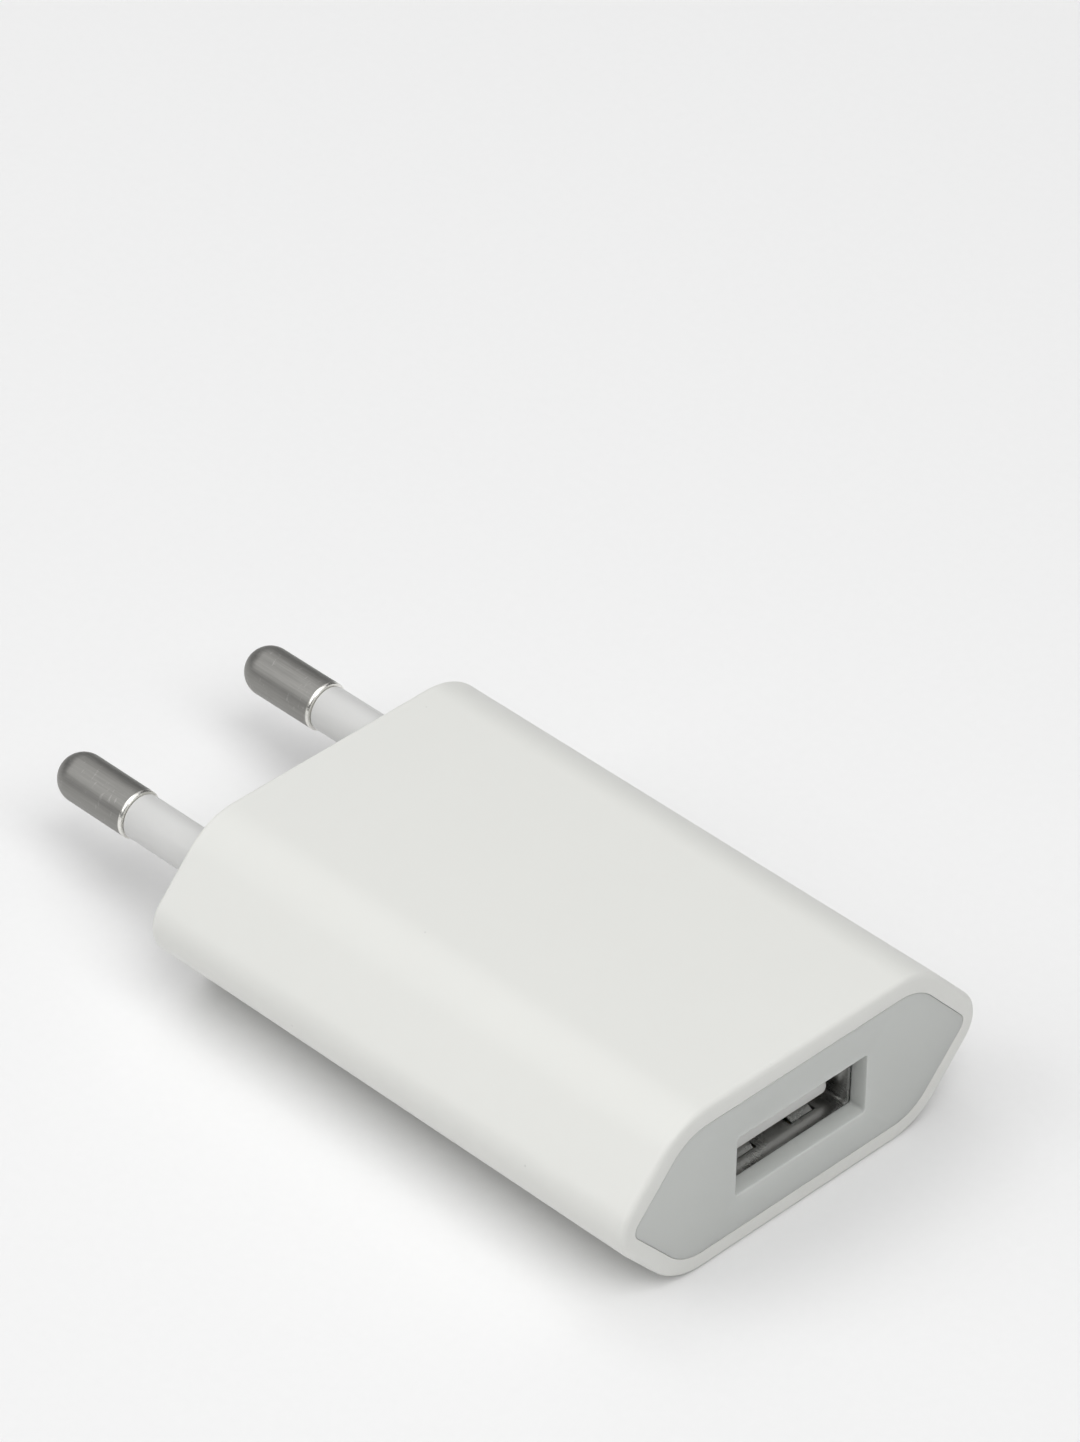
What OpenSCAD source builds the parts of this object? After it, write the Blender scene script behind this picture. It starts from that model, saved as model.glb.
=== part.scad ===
// Two-pin mains charger with one USB outlet: a slim six-sided case, flush front plate, insulated pins,
// and the power supply inside it. X runs from the pin tips to the outlet, Z is up, millimetres.
// The origin is under the middle of the outer box, on the surface that the charger lies on.

/* [Case] */
// Length of the case without its pins
body_length = 48; // [46:0.5:52]
// Width across the two side ridges
body_width = 36; // [35:0.5:38]
// Thickness between the two broad faces
body_thick = 14.6; // [14.2:0.1:15.2]
// Width of each broad face, between the edges where the slopes begin
face_width = 24.8; // [24:0.2:26]
// Radius along the four long edges of the broad faces
edge_round = 6; // [4:0.5:7]
// Radius along the two side ridges
ridge_round = 3; // [2:0.5:4]
// Radius of the outer edge around the outlet end
front_fillet = 0.5; // [0.4:0.1:1]
// Radius of the outer edge around the pin end
rear_fillet = 0.4; // [0.2:0.1:0.8]
// Thickness of the case's long walls
wall = 1.5; // [1.3:0.1:1.6]
// Thickness of the case's pin end
rear_wall = 1.8; // [1.5:0.1:2]
// Thickness of the front plate
plate_thick = 1.5; // [1.2:0.1:1.6]

/* [Pins] */
// Distance between the two pin axes
pin_spacing = 19; // [18:0.1:19.2]
// Diameter of the bare end of a pin
pin_d = 4; // [3.9:0.05:4.1]
// Length of the bare end, with its round tip
bare_length = 8.2; // [8:0.1:9]
// Outer diameter of the insulating sleeve
sleeve_d = 3.66; // [3.6:0.02:3.68]
// Length of the insulating sleeve outside the case
sleeve_length = 10.3; // [10:0.1:10.5]
// Diameter of the pin inside its sleeve and the case
core_d = 3; // [2.8:0.1:3.1]

/* [Outlet] */
// Width of the opening in the front plate
aperture_w = 13.2; // [13:0.05:13.3]
// Height of the opening in the front plate
aperture_h = 5.2; // [5.15:0.05:5.3]
// Inner width of the metal shell
socket_w = 12.5; // [12.4:0.05:12.6]
// Inner height of the metal shell
socket_h = 5.12; // [5.1:0.01:5.2]
// Sheet thickness of the metal shell
shell_t = 0.3; // [0.25:0.05:0.35]
// Width of the tongue that carries the contacts
tongue_w = 11.1; // [11:0.05:11.3]
// Thickness of the tongue
tongue_t = 1.84; // [1.8:0.02:1.9]
// Distance from the front plate's outer face to the end of the tongue
tongue_setback = 2.8; // [2.6:0.1:3]

/* [Circuit] */
// Thickness of the circuit board
board_t = 1; // [0.8:0.1:1.2]
// Half the width of the circuit board
board_half = 12.2; // [11.8:0.1:12.2]
// Diameter of each input capacitor
input_cap_d = 8; // [7:0.5:8]
// Length of each input capacitor
input_cap_l = 11.5; // [10:0.5:11.5]
// Diameter of each output capacitor
output_cap_d = 5; // [4:0.5:5]
// Length of each output capacitor
output_cap_l = 8.5; // [7:0.5:8.5]
// Diameter of the component wires
lead_d = 0.6; // [0.5:0.05:0.6]

/* [Hidden] */
$fn = 40;
gap = 0.04;                 // clearance between pieces that are assembled or moulded together
far = 60;                   // longer than any cut needs to be
arc_steps = 6;              // straight pieces in each rounded corner of the case
fillet_steps = 4;           // rings in each rounded end of the case

// Stations along X
pin_out = sleeve_length + bare_length;
x_tip = -(body_length + pin_out) / 2;
x_bare_end = x_tip + bare_length;
x_rear = x_tip + pin_out;
x_face = x_rear + body_length;
x_inside = x_rear + rear_wall;
x_plate = x_face - plate_thick;
x_block_end = x_inside + 3;
x_pin_end = x_block_end + 1.4;

// Heights
mid_z = body_thick / 2;
shell_w = socket_w + 2 * shell_t;
shell_h = socket_h + 2 * shell_t;
board_top = mid_z - shell_h / 2 - gap;
board_low = board_top - board_t;
seat = board_top + gap;     // lowest point of a component that stands on the board
side_pin = pin_spacing / 2;

// Circuit board
x_board = x_block_end + 0.6;
x_board_end = x_face - 4.3;
notch_x = 19.7;
notch_y = 6.9;
notch_w = 1;
sheet_half = 9.8;           // half the width of the insulating sheet under the board
rail_reach = 0.3;           // how far each rail reaches under the board
rail_root = 1.8;            // how far it runs into the sloping wall
hole_d = lead_d + 2 * gap;

// Pin terminals
terminal_t = 0.5;
terminal_w = 3.8;
terminal_leg_w = 2;
x_terminal = x_block_end + 0.3;
terminal_foot = 1.9;        // how far the foot reaches forward to its slot in the board

// Fuse resistor and bridge rectifier
fuse = [-5.2, -2.9, seat + 1.8];
fuse_d = 3.2;
fuse_l = 7.4;
fuse_cap = 1.8;             // length of the wider part at each end
fuse_lead_y = 5;
bridge = [-6.4, 5.6];
bridge_size = [4.4, 4.4, 2.4];
bridge_lift = 0.4;
bridge_leg = [1.2, 0.9, 0.25];

// Input capacitors lie along X, one on each side
wrap_t = 0.12;
input_y = 8.1;
input_z = seat + input_cap_d / 2 + wrap_t + gap;
x_input = -2.4;
input_lead_pitch = 3.5;
input_bend = 0.9;           // from the bung to the centre line of the bent wire

// Choke between the input capacitors
choke = [3, 0];
choke_d = 6;
choke_core_d = 3;
choke_flange = 1;
choke_h = 6.6;

// Transformer: two E cores meet on the line x = core_x, around one bobbin
core_x = 15.2;
core_half_l = 5;
core_half_w = 6.5;
core_back = 1.6;
outer_leg = 1.6;
centre_leg_half = 1.6;
core_low = board_top + 2.3;
core_high = core_low + 3.6;
core_mid = (core_low + core_high) / 2;
bobbin_wall = 0.4;
flange_t = 0.5;
primary_t = 0.75;
secondary_t = 0.45;
tape_t = 0.15;
bobbin_x = core_half_l - core_back - gap;          // half the length between the core backs
tube_y = centre_leg_half + gap;
tube_z = (core_high - core_low) / 2 + gap;
flange_y = core_half_w - outer_leg - gap;
flange_z = core_mid - seat - gap;
rail_h = core_low - seat - gap;
transformer_rows = [[-1, [-3.9, -1.3, 1.3, 3.9]], [1, [-2.6, 0, 2.6]]];
transformer_pin_x = 4.2;
band_t = 0.1;
band_half = 1.1;

// Safety capacitor
y_cap = [14.6, 9.4, board_top + 4.3];
y_cap_d = 7;
y_cap_t = 2.8;
y_cap_pitch = 5;

// Control chip and output diode
chip = [12.8, -9.6];
chip_size = [3.9, 4.9, 1.45];
chip_lift = 0.15;
chip_pitch = 1.27;
chip_leg = [1, 0.42, 0.2];
diode = [18.4, -9.6];
diode_size = [3.4, 4.2, 2];
diode_tab = [1.6, 0.45, 0.3];

// Output capacitors lie along X, one on each side of the outlet
output_y = 10.2;
output_z = seat + output_cap_d / 2 + wrap_t + gap;
x_output = 21.9;
output_lead_pitch = 2;
output_bend = 0.7;

// Outlet
x_shell = 21.3;
x_shell_end = x_plate - gap;
x_tongue = x_face - tongue_setback;
x_core_block = x_shell + 3.2;
contact_ys = [-3.5, -1, 1, 3.5];
contact_w = 1;
contact_t = 0.2;
contact_root = 0.6;         // how far the contacts bend down behind the shell
shell_leg = [2.2, 0.3];
shell_leg_x = 25.2;
spring_slot = [5.4, 2.6];
spring_slot_x = x_shell_end - 1.15 - spring_slot.x / 2;
spring_slot_y = 3;

// Small parts under the board
under_gap = 0.02;
resistor_size = [2, 1.25, 0.5];
resistor_spots = [[-1, 3], [-1, -3], [6.5, 2.6], [6.5, -2.6], [14.5, -7.6], [18, -5.6], [25.4, 9.8]];
capacitor_size = [2, 1.25, 0.8];
capacitor_spots = [[14.5, 6.4], [17.4, -10.3], [24.6, -2.4], [27.2, 4.6]];
joint_d = 1.3;
joint_h = 0.6;

// Every wire that passes through the board: [x, y]
fuse_spots = [for (s = [-1, 1]) [fuse.x, fuse.y + s * fuse_lead_y]];
input_spots = [for (side = [-1, 1], s = [-1, 1])
    [x_input - input_bend, side * input_y + s * input_lead_pitch / 2]];
choke_spots = [for (s = [-1, 1]) [choke.x + s * 2, choke.y]];
transformer_spots = [for (row = transformer_rows, y = row[1]) [core_x + row[0] * transformer_pin_x, y]];
y_cap_spots = [for (s = [-1, 1]) [y_cap.x + s * y_cap_pitch / 2, y_cap.y]];
output_spots = [for (side = [-1, 1], s = [-1, 1])
    [x_output - output_bend, side * output_y + s * output_lead_pitch / 2]];
contact_spots = [for (y = contact_ys) [x_shell - contact_root, y]];
wire_spots = concat(fuse_spots, input_spots, choke_spots, transformer_spots, y_cap_spots,
    output_spots, contact_spots);

// Six-sided outline -------------------------------------------------------------------------------

function unit(v) = v / norm(v);

// Arc that rounds the corner q between the points p and n with radius r
function corner(p, q, n, r) =
    let (
        to_p = unit(p - q),
        to_n = unit(n - q),
        half = acos(to_p * to_n) / 2,
        centre = q + unit(to_p + to_n) * r / sin(half),
        first = q + to_p * r / tan(half) - centre,
        last = q + to_n * r / tan(half) - centre,
        start = atan2(first.y, first.x),
        turn = atan2(cross(first, last), first * last)
    )
    [for (i = [0:arc_steps]) let (a = start + turn * i / arc_steps) centre + r * [cos(a), sin(a)]];

function rounded(points, radii) =
    let (n = len(points))
    [for (i = [0:n - 1]) each corner(points[(i + n - 1) % n], points[i], points[(i + 1) % n], radii[i])];

// Outline of the case moved inwards by d, seen from the outlet end, centred on the case's axis
function outline(d, edge_r, ridge_r) =
    let (
        ridge = ridge_y - d * sqrt(1 + slope * slope),
        top = body_thick / 2 - d,
        edge = ridge - slope * top
    )
    rounded([[ridge, 0], [edge, top], [-edge, top], [-ridge, 0], [-edge, -top], [edge, -top]],
        [ridge_r, edge_r, edge_r, ridge_r, edge_r, edge_r]);

// Slope of the sides, and where they would meet if the ridge between them were not rounded off to body_width
spare = body_width / 2 - face_width / 2 - ridge_round;
slope = (mid_z * spare + ridge_round * sqrt(pow(mid_z, 2) + pow(spare, 2) - pow(ridge_round, 2)))
    / (pow(mid_z, 2) - pow(ridge_round, 2));
ridge_y = face_width / 2 + slope * mid_z;

// Stations of the outer surface: [x, how far the outline is moved inwards]
function rear_ring(i) =
    let (a = 90 * i / fillet_steps)
    [x_rear + rear_fillet * (1 - sin(a)), rear_fillet * (1 - cos(a))];
function front_ring(i) =
    let (a = 90 * i / fillet_steps)
    [x_face - front_fillet * (1 - sin(a)), front_fillet * (1 - cos(a))];
rings = concat([for (i = [fillet_steps:-1:0]) rear_ring(i)], [for (i = [0:fillet_steps]) front_ring(i)]);

// General shapes ----------------------------------------------------------------------------------

module box(low, high) {
    translate(low) cube(high - low);
}

// Puts what is drawn on the left on the side s: 1 left, -1 right
module across(s) {
    mirror([0, s > 0 ? 0 : 1, 0]) children();
}

// Draws a flat (y, z) outline between two stations along X
module along_x(x_from, x_to) {
    translate([x_from, 0, 0]) rotate([90, 0, 90]) linear_extrude(x_to - x_from) children();
}

module rod_x(x_from, x_to, y, z, d) {
    translate([x_from, y, z]) rotate([0, 90, 0]) cylinder(d = d, h = x_to - x_from);
}

module rod_y(y_from, y_to, x, z, d) {
    translate([x, y_from, z]) rotate([-90, 0, 0]) cylinder(d = d, h = y_to - y_from);
}

module rod_z(z_from, z_to, spot, d) {
    translate([spot.x, spot.y, z_from]) cylinder(d = d, h = z_to - z_from);
}

module round_rect(w, h, r) {
    polygon(rounded([[w / 2, -h / 2], [w / 2, h / 2], [-w / 2, h / 2], [-w / 2, -h / 2]], [r, r, r, r]));
}

// Block centred on the transformer's winding axis
module around_core(x_half, y_half, z_half) {
    box([core_x - x_half, -y_half, core_mid - z_half], [core_x + x_half, y_half, core_mid + z_half]);
}

// Case --------------------------------------------------------------------------------------------

module outer_shape() {
    count = 6 * (arc_steps + 1);
    last = len(rings) - 1;
    points = [for (ring = rings, p = outline(ring[1], edge_round - ring[1], ridge_round - ring[1]))
        [ring[0], p.x, p.y + mid_z]];
    sides = [for (k = [0:last - 1], i = [0:count - 1])
        let (j = (i + 1) % count, a = k * count, b = a + count)
        each [[a + i, b + i, b + j], [a + i, b + j, a + j]]];
    caps = [[for (i = [0:count - 1]) i], [for (i = [count - 1:-1:0]) last * count + i]];
    polyhedron(points, concat(sides, caps), convexity = 4);
}

module housing() {
    color("whitesmoke") union() {
        difference() {
            outer_shape();
            along_x(x_inside, x_face + 1) translate([0, mid_z])
                polygon(outline(wall, edge_round - wall, 1));
            for (s = [-1, 1])
                rod_x(x_rear - 1, x_inside + 1, s * side_pin, mid_z, core_d + 2 * gap);
        }
        for (s = [-1, 1]) // rails that carry the board
            across(s) box([x_inside - 0.5, board_half - rail_reach, board_low - gap - 1],
                [x_board_end, board_half + rail_root, board_low - gap]);
    }
}

module face_plate() {
    skirt = 2.2;
    color("silver") difference() {
        union() {
            along_x(x_plate, x_face) translate([0, mid_z])
                polygon(outline(wall + gap, edge_round - wall, 1));
            along_x(x_plate - skirt, x_plate) translate([0, mid_z]) difference() {
                polygon(outline(wall + gap, edge_round - wall, 1));
                polygon(outline(wall + 0.9, edge_round - wall - 0.8, 1));
            }
        }
        along_x(x_plate - 1, x_face + 1) translate([0, mid_z])
            square([aperture_w, aperture_h], center = true);
    }
}

// Pins --------------------------------------------------------------------------------------------

module pin(side) {
    r = pin_d / 2;
    tip = [for (i = [0:12]) let (a = 90 * i / 12) [r * sin(a), r * (1 - cos(a))]];
    body = [[r, bare_length - 0.15], [r - 0.15, bare_length], [core_d / 2, bare_length],
        [core_d / 2, x_pin_end - x_tip], [0, x_pin_end - x_tip]];
    color("gainsboro") translate([x_tip, side * side_pin, mid_z]) rotate([0, 90, 0])
        rotate_extrude() polygon(concat(tip, body));
}

module pin_left() { pin(1); }
module pin_right() { pin(-1); }

module pin_sleeve(side) {
    color("whitesmoke") difference() {
        rod_x(x_bare_end + gap, x_rear - gap, side * side_pin, mid_z, sleeve_d);
        rod_x(x_bare_end - 1, x_rear + 1, side * side_pin, mid_z, core_d + 2 * gap);
    }
}

module pin_sleeve_left() { pin_sleeve(1); }
module pin_sleeve_right() { pin_sleeve(-1); }

module pin_block() {
    color("ivory") difference() {
        box([x_inside + gap, -13.2, mid_z - 2.8], [x_block_end, 13.2, mid_z + 2.8]);
        for (s = [-1, 1])
            rod_x(x_rear, x_block_end + 1, s * side_pin, mid_z, core_d + 2 * gap);
        box([x_inside + 0.9, -5.5, mid_z - 1.6], [x_block_end + 1, 5.5, mid_z + 1.6]);
    }
}

// Brass plate pressed on the pin's end, with a foot soldered into the board
module terminal(side) {
    y = side * side_pin;
    foot = x_terminal + terminal_foot;
    color("goldenrod") union() {
        difference() {
            box([x_terminal, y - terminal_w / 2, seat + 0.2],
                [x_terminal + terminal_t, y + terminal_w / 2, mid_z + 2.6]);
            rod_x(x_terminal - 1, x_terminal + 1, y, mid_z, core_d + 2 * gap);
        }
        box([x_terminal, y - terminal_leg_w / 2, seat + 0.2],
            [foot, y + terminal_leg_w / 2, seat + 0.2 + terminal_t]);
        box([foot - terminal_t, y - terminal_leg_w / 2, board_low],
            [foot, y + terminal_leg_w / 2, seat + 0.5]);
    }
}

module terminal_left() { terminal(1); }
module terminal_right() { terminal(-1); }

// Board -------------------------------------------------------------------------------------------

module main_board() {
    foot = x_terminal + terminal_foot;
    color("darkseagreen") difference() {
        box([x_board, -board_half, board_low], [x_board_end, board_half, board_top]);
        for (spot = wire_spots)
            rod_z(board_low - 1, board_top + 1, spot, hole_d);
        for (s = [-1, 1])
            box([foot - terminal_t - gap, s * side_pin - terminal_leg_w / 2 - gap, board_low - 1],
                [foot + gap, s * side_pin + terminal_leg_w / 2 + gap, board_top + 1]);
        for (s = [-1, 1]) // slots for the shell's side legs
            across(s) shell_side_leg(board_low - 1, gap);
        // notch that parts the mains side from the outlet side beside the transformer
        box([notch_x, notch_y, board_low - 1], [notch_x + notch_w, board_half + 1, board_top + 1]);
    }
}

module insulation_sheet() {
    color("beige") box([x_inside + 0.4, -sheet_half, wall + 0.1],
        [x_board_end - 0.3, sheet_half, wall + 0.3]);
}

// Wires that stand in the board below a part, each ending in the part's own cut
module legs(spots, z_to) {
    for (spot = spots)
        rod_z(board_low, z_to, spot, lead_d);
}

module fuse_resistor() {
    color("skyblue") union() {
        rod_y(fuse.y - fuse_l / 2, fuse.y + fuse_l / 2, fuse.x, fuse.z, fuse_d - 0.5);
        for (y = [-fuse_l / 2, fuse_l / 2 - fuse_cap])
            rod_y(fuse.y + y, fuse.y + y + fuse_cap, fuse.x, fuse.z, fuse_d);
    }
}

module fuse_leads() {
    color("silver") union() {
        legs(fuse_spots, fuse.z + lead_d / 2);
        rod_y(fuse.y - fuse_lead_y, fuse.y - fuse_l / 2, fuse.x, fuse.z, lead_d * 0.9);
        rod_y(fuse.y + fuse_l / 2, fuse.y + fuse_lead_y, fuse.x, fuse.z, lead_d * 0.9);
    }
}

module bridge_rectifier() {
    color("dimgray") box([bridge.x - bridge_size.x / 2, bridge.y - bridge_size.y / 2, seat + bridge_lift],
        [bridge.x + bridge_size.x / 2, bridge.y + bridge_size.y / 2, seat + bridge_lift + bridge_size.z]);
}

module bridge_legs() {
    half_pitch = (bridge_size.x - bridge_leg.x) / 2;
    color("silver") for (sx = [-1, 1], sy = [-1, 1])
        translate([bridge.x + sx * half_pitch, bridge.y, seat]) across(sy)
            translate([-bridge_leg.x / 2, bridge_size.y / 2, 0]) union() {
                translate([0, -bridge_leg.y, 0]) cube([bridge_leg.x, bridge_leg.y + 0.5, bridge_leg.z]);
                translate([0, 0.25, 0]) cube([bridge_leg.x, bridge_leg.z, 1.6]);
                translate([0, 0, 1.35]) cube([bridge_leg.x, 0.4, bridge_leg.z]);
            }
}

// Capacitors --------------------------------------------------------------------------------------

// Aluminium can lying along X, open towards the pins, with the groove that grips its bung
module can(x, y, z, d, l) {
    groove = d / 40;
    color("gainsboro") translate([x, y, z]) rotate([0, 90, 0]) difference() {
        rotate_extrude() polygon([[0, 0], [d / 2, 0], [d / 2, 1.1], [d / 2 - groove, 1.3],
            [d / 2 - groove, 1.7], [d / 2, 1.9], [d / 2, l - 0.3], [d / 2 - 0.3, l], [0, l]]);
        translate([0, 0, -1]) cylinder(d = d - 0.8, h = 2);
    }
}

// Printed plastic wrap on a can, turned over at both ends of its side
module wrap(x, y, z, d, l) {
    color("slategray") difference() {
        rod_x(x + 2, x + l - 0.4, y, z, d + 2 * wrap_t);
        rod_x(x, x + l, y, z, d + 0.02);
    }
}

module bung(x, y, z, d, pitch) {
    color("dimgray") difference() {
        rod_x(x + 0.1, x + 0.98, y, z, d - 0.8 - gap);
        for (s = [-1, 1])
            rod_x(x - 1, x + 2, y + s * pitch / 2, z, hole_d);
    }
}

// Two wires of a lying capacitor: out of the bung, then down through the board
module bent_leads(x, y, z, bend, pitch) {
    for (s = [-1, 1]) {
        rod_x(x - bend, x + 0.9, y + s * pitch / 2, z, lead_d);
        rod_z(board_low, z, [x - bend, y + s * pitch / 2], lead_d);
        translate([x - bend, y + s * pitch / 2, z]) sphere(d = lead_d, $fn = 24);
    }
}

module input_can(side) { can(x_input, side * input_y, input_z, input_cap_d, input_cap_l); }
module input_can_left() { input_can(1); }
module input_can_right() { input_can(-1); }

module input_wrap(side) { wrap(x_input, side * input_y, input_z, input_cap_d, input_cap_l); }
module input_wrap_left() { input_wrap(1); }
module input_wrap_right() { input_wrap(-1); }

module input_bung(side) { bung(x_input, side * input_y, input_z, input_cap_d, input_lead_pitch); }
module input_bung_left() { input_bung(1); }
module input_bung_right() { input_bung(-1); }

module input_cap_leads() {
    color("silver") for (side = [-1, 1])
        bent_leads(x_input, side * input_y, input_z, input_bend, input_lead_pitch);
}

module output_can(side) { can(x_output, side * output_y, output_z, output_cap_d, output_cap_l); }
module output_can_left() { output_can(1); }
module output_can_right() { output_can(-1); }

module output_wrap(side) { wrap(x_output, side * output_y, output_z, output_cap_d, output_cap_l); }
module output_wrap_left() { output_wrap(1); }
module output_wrap_right() { output_wrap(-1); }

module output_bungs() {
    for (side = [-1, 1])
        bung(x_output, side * output_y, output_z, output_cap_d, output_lead_pitch);
}

module output_cap_leads() {
    color("silver") for (side = [-1, 1])
        bent_leads(x_output, side * output_y, output_z, output_bend, output_lead_pitch);
}

// Choke -------------------------------------------------------------------------------------------

module choke_core() {
    color("dimgray") difference() {
        union() {
            rod_z(seat, seat + choke_flange, choke, choke_d);
            rod_z(seat, seat + choke_h, choke, choke_core_d);
            rod_z(seat + choke_h - choke_flange, seat + choke_h, choke, choke_d);
        }
        for (spot = choke_spots)
            rod_z(seat - 1, seat + choke_flange + 1, spot, hole_d);
    }
}

module choke_winding() {
    color("peru") difference() {
        rod_z(seat + choke_flange + gap, seat + choke_h - choke_flange - gap, choke, choke_d - 0.6);
        rod_z(seat, seat + choke_h, choke, choke_core_d + 2 * gap);
    }
}

module choke_leads() {
    color("silver") legs(choke_spots, seat + choke_flange);
}

// Transformer -------------------------------------------------------------------------------------

// E-shaped half core; its three legs reach the line between the halves
module half_core(side) {
    color("dimgray") difference() {
        box([core_x + (side > 0 ? gap / 2 : -core_half_l), -core_half_w, core_low],
            [core_x + (side > 0 ? core_half_l : -gap / 2), core_half_w, core_high]);
        for (s = [-1, 1])
            across(s) box([core_x - core_half_l + core_back, centre_leg_half, core_low - 1],
                [core_x + core_half_l - core_back, core_half_w - outer_leg, core_high + 1]);
    }
}

module transformer_core_rear() { half_core(-1); }
module transformer_core_front() { half_core(1); }

module transformer_bobbin() {
    color("darkslategray") difference() {
        union() {
            around_core(bobbin_x, tube_y + bobbin_wall, tube_z + bobbin_wall);
            for (s = [-1, 1]) {
                translate([s * (bobbin_x - flange_t / 2), 0, 0])
                    around_core(flange_t / 2, flange_y, flange_z);
                box([core_x + (s > 0 ? bobbin_x - flange_t : -core_half_l), -flange_y, seat],
                    [core_x + (s > 0 ? core_half_l : flange_t - bobbin_x), flange_y, seat + rail_h]);
            }
        }
        around_core(far, tube_y, tube_z);
        for (spot = transformer_spots)
            rod_z(seat - 1, seat + rail_h - 0.5, spot, hole_d);
    }
}

// Closed layer around the bobbin, from depth a to depth b outside its tube
module layer(a, b) {
    length = bobbin_x - flange_t - gap;
    inner = bobbin_wall + a;
    difference() {
        around_core(length, tube_y + bobbin_wall + b, tube_z + bobbin_wall + b);
        around_core(far, tube_y + inner, tube_z + inner);
    }
}

module primary_winding() {
    color("peru") layer(gap, primary_t);
}

module secondary_winding() {
    color("chocolate") layer(primary_t + gap, primary_t + secondary_t);
}

module winding_tape() {
    wound = primary_t + secondary_t;
    color("gold") layer(wound + gap, wound + gap + tape_t);
}

module core_band() {
    color("gold") difference() {
        box([core_x - core_half_l - gap - band_t, -core_half_w - gap - band_t, core_mid - band_half],
            [core_x + core_half_l + gap + band_t, core_half_w + gap + band_t, core_mid + band_half]);
        box([core_x - core_half_l - gap, -core_half_w - gap, core_mid - band_half - 1],
            [core_x + core_half_l + gap, core_half_w + gap, core_mid + band_half + 1]);
    }
}

module transformer_pins() {
    color("silver") legs(transformer_spots, seat + rail_h - 0.5 - gap);
}

// Safety capacitor, chip and diode ----------------------------------------------------------------

module disc(extra) {
    half = y_cap_t / 2 + extra;
    rod_y(y_cap.y - half, y_cap.y + half, y_cap.x, y_cap.z, y_cap_d + 2 * extra);
}

module safety_capacitor() {
    color("steelblue") disc(0);
}

module safety_capacitor_leads() {
    color("silver") difference() {
        legs(y_cap_spots, y_cap.z);
        disc(gap / 2);
    }
}

module control_chip() {
    color("dimgray") difference() {
        box([chip.x - chip_size.x / 2, chip.y - chip_size.y / 2, seat + chip_lift],
            [chip.x + chip_size.x / 2, chip.y + chip_size.y / 2, seat + chip_lift + chip_size.z]);
        rod_z(seat + chip_lift + chip_size.z - 0.1, far, [chip.x - 1.1, chip.y + 1.7], 0.8);
    }
}

module control_chip_legs() {
    color("silver") for (s = [-1, 1], i = [-1.5:1:1.5])
        translate([chip.x + s * chip_size.x / 2, chip.y + i * chip_pitch, seat]) mirror([s > 0 ? 0 : 1, 0, 0])
            translate([0, -chip_leg.y / 2, 0]) union() {
                translate([0.4, 0, 0]) cube([chip_leg.x - 0.4, chip_leg.y, chip_leg.z]);
                translate([0.25, 0, 0]) cube([chip_leg.z, chip_leg.y, 0.9]);
                translate([0, 0, 0.7]) cube([0.45, chip_leg.y, chip_leg.z]);
            }
}

module output_diode() {
    color("dimgray") box([diode.x - diode_size.x / 2, diode.y - diode_size.y / 2, seat + 0.1],
        [diode.x + diode_size.x / 2, diode.y + diode_size.y / 2, seat + 0.1 + diode_size.z]);
}

module output_diode_tabs() {
    color("silver") for (s = [-1, 1])
        translate([diode.x, diode.y, seat]) across(s)
            translate([-diode_tab.x / 2, diode_size.y / 2, 0]) cube([diode_tab.x, diode_tab.y, 1.1]);
}

// Outlet ------------------------------------------------------------------------------------------

// One leg of the shell, soldered into the board, or with extra its slot there
module shell_side_leg(low, extra) {
    box([shell_leg_x - shell_leg[0] / 2 - extra, shell_w / 2 - shell_leg[1] - extra, low],
        [shell_leg_x + shell_leg[0] / 2 + extra, shell_w / 2 + extra, mid_z]);
}

module usb_shell() {
    color("gray") difference() {
        union() {
            along_x(x_shell, x_shell_end) translate([0, mid_z]) difference() {
                round_rect(shell_w, shell_h, 0.6);
                round_rect(socket_w, socket_h, 0.35);
            }
            for (s = [-1, 1])
                across(s) shell_side_leg(board_low, 0);
        }
        for (s = [-1, 1]) // windows around the grip springs
            box([spring_slot_x - spring_slot.x / 2, s * spring_slot_y - spring_slot.y / 2, mid_z - far],
                [spring_slot_x + spring_slot.x / 2, s * spring_slot_y + spring_slot.y / 2, mid_z + far]);
    }
}

// Flat contact on the tongue, run back through the block and bent down into the board
module contact(y, extra) {
    w = contact_w / 2 + extra;
    x_leg = x_shell - contact_root;
    box([x_leg - contact_t / 2 - extra, y - w, mid_z - contact_t / 2 - extra],
        [x_tongue - 0.9 + extra, y + w, mid_z + contact_t / 2 + extra]);
    box([x_leg - contact_t / 2 - extra, y - w, seat + 0.3], [x_leg + contact_t / 2 + extra, y + w, mid_z]);
    rod_z(board_low, seat + 0.5, [x_leg, y], lead_d - 0.1);
}

module usb_insulator() {
    color("white") difference() {
        union() {
            along_x(x_shell + gap, x_core_block) translate([0, mid_z])
                round_rect(socket_w - 2 * gap, socket_h - 2 * gap, 0.35);
            along_x(x_shell + gap, x_tongue) translate([0, mid_z - tongue_t / 2])
                round_rect(tongue_w, tongue_t, 0.4);
        }
        for (y = contact_ys)
            contact(y, gap / 2);
    }
}

module usb_contacts() {
    color("gold") for (y = contact_ys)
        contact(y, 0);
}

// Under the board ---------------------------------------------------------------------------------

module chips_under(spots, size) {
    for (spot = spots)
        translate([spot.x - size.x / 2, spot.y - size.y / 2, board_low - under_gap - size.z]) cube(size);
}

module chip_resistors() {
    color("dimgray") chips_under(resistor_spots, resistor_size);
}

module chip_capacitors() {
    color("tan") chips_under(capacitor_spots, capacitor_size);
}

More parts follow.
